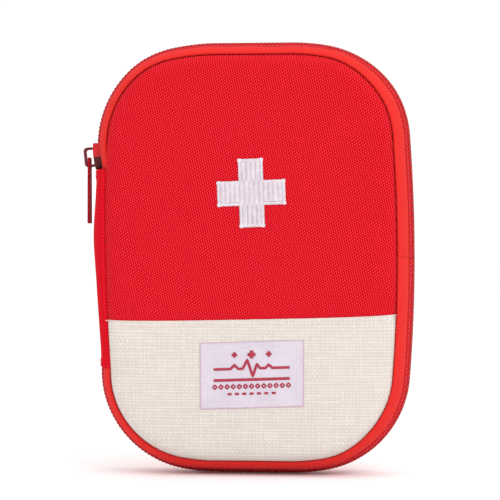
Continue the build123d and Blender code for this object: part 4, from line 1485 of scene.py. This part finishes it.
pads = sachets(
    "gauze_pad_sachets", BACK, (58 * MM, 68 * MM), 1.4 * MM,
    [((1 - 2 * n) * MM, (50 + 4 * n) * MM, n) for n in range(3)], gauze_paper,
)
wipes = sachets(
    "wipe_sachets", FRONT, (44 * MM, 54 * MM), 1.6 * MM,
    [((n - 21) * MM, (49 + 2 * n) * MM, n) for n in range(4)], wipe_paper,
)
plasters = sachets(
    "plaster_sachets", FRONT, (19 * MM, 72 * MM), 0.85 * MM,
    [((16 + 21 * row) * MM, (94 + 2 * n) * MM, n) for row in range(2) for n in range(3)], plaster_paper,
)

# ------------------------------------------------------------------ bodies

riders = {
    "back_shell": [back_skin, back_lining, back_binding, back_binding_sewing, slip_cloth, slip_hem, band],
    "cover": [
        front_skin, cream_skin, cream_roll, cream_stitches, cross, cross_border, label_cloth, motif,
        label_thread,
    ],
    "spine": [spine_piece, spine_sewing, spine_inner],
    "slider": [slider_piece],
    "pull_tab": [pull_piece],
}
riders["back_shell"] += [gauze_roll, crepe_roll, pads]
riders["cover"] += [front_lining, front_binding, front_binding_sewing, net_cloth, net_hem]
riders["cover"] += [wipes, plasters, tape_winding]
for body, members in riders.items():
    for member in members:
        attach(member, body)

for (side_name, part_name), members in zip_parts.items():
    for member in members:
        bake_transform(member)

for side, strip in fold_strips.items():
    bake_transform(strip)

replaced = [
    (front_skin, "front_red_panel", "front_foam_pad"),
    (back_skin, "back_panel", "back_foam_pad"),
    (cream_skin, "front_cream_panel"),
    (cross, "embroidered_cross"),
    (label_cloth, "woven_label"),
    (front_lining, "front_lining"),
    (back_lining, "back_lining"),
    (spine_inner, "spine_lining"),
    (spine_piece, "spine_gusset"),
    (front_binding, "front_seam_binding"),
    (back_binding, "back_seam_binding"),
    (slip_cloth, "slip_pocket"),
    (slip_hem, "slip_pocket_hem"),
    (net_cloth, "net_pocket"),
    (net_hem, "net_pocket_hem"),
    (band, "elastic_loops"),
    (gauze_roll, "gauze_bandage_roll"),
    (crepe_roll, "crepe_bandage_roll"),
    (tape_winding, "tape_roll_winding"),
    (pads, "gauze_pads"),
    (wipes, "antiseptic_wipes"),
    (plasters, "plaster_strips"),
    (slider_piece, "zip_slider"),
    (pull_piece, "zip_pull"),
    (zip_parts["front", "upper"][0], "front_zip_tape", "upper_zip_end_tapes"),
    (zip_parts["front", "upper"][1], "front_zip_teeth", "upper_zip_end_teeth"),
    (zip_parts["back", "lower"][0], "back_zip_tape", "lower_zip_end_tapes"),
    (zip_parts["back", "lower"][1], "back_zip_teeth", "lower_zip_end_teeth"),
]
for piece, *nodes in replaced:
    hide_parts(*nodes)

for node, material in (("tweezers", steel), ("tape_roll_core", spool_plastic)):
    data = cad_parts[node].data
    data.materials.clear()
    data.materials.append(material)

# ------------------------------------------------------------------ studio


def floor():
    """A plain pale floor."""
    reach = 6.0
    steps = 12
    points = [
        (-reach + 2 * reach * i / steps, -reach + 2 * reach * j / steps, 0.0)
        for j in range(steps + 1)
        for i in range(steps + 1)
    ]
    paint = Paint("studio_floor", 0.6, Specular_IOR_Level=0.2)
    paint.colour(paint.mix(paint.noise(0.4, 2.0), (0.93, 0.93, 0.93, 1), (0.95, 0.95, 0.95, 1)))
    ground = mesh_piece("floor", points, grid_faces(steps + 1, steps + 1), paint.material)
    return ground


def area_light(name, at, target, size, power):
    """A soft square light aimed at a point."""
    lamp = bpy.data.lights.new(name, "AREA")
    lamp.size, lamp.energy = size, power
    holder = bpy.data.objects.new(name, lamp)
    bpy.context.scene.collection.objects.link(holder)
    holder.location = at
    holder.rotation_euler = (Vector(target) - Vector(at)).to_track_quat("-Z", "Y").to_euler()
    return holder


def studio():
    """White surroundings, two soft lights and the camera at the picture's angle."""
    scene = bpy.context.scene
    world = bpy.data.worlds.new("studio")
    world.use_nodes = True
    world.node_tree.nodes["Background"].inputs[0].default_value = (1, 1, 1, 1)
    world.node_tree.nodes["Background"].inputs[1].default_value = 1.1
    scene.world = world
    scene.view_settings.view_transform = "Standard"
    middle = (0, 0, height / 2)
    area_light("key", (0.55, -0.75, 0.85), middle, 0.5, 3.2)
    area_light("top", (0.2, 0.1, 1.1), middle, 0.6, 1.4)
    distance, azimuth, elevation = 0.9, math.radians(5.8), math.radians(0.5)
    aim = Vector((-1.7 * MM, 0, 92.1 * MM))
    place = aim + distance * Vector(
        (math.sin(azimuth) * math.cos(elevation), -math.cos(azimuth) * math.cos(elevation), math.sin(elevation))
    )
    camera = bpy.data.cameras.new("camera")
    camera.sensor_width = 36
    camera.lens = 36 * distance / 0.207
    camera.clip_start = 0.01
    holder = bpy.data.objects.new("camera", camera)
    scene.collection.objects.link(holder)
    holder.location = place
    holder.rotation_euler = (aim - place).to_track_quat("-Z", "Y").to_euler()
    scene.camera = holder


floor()
studio()
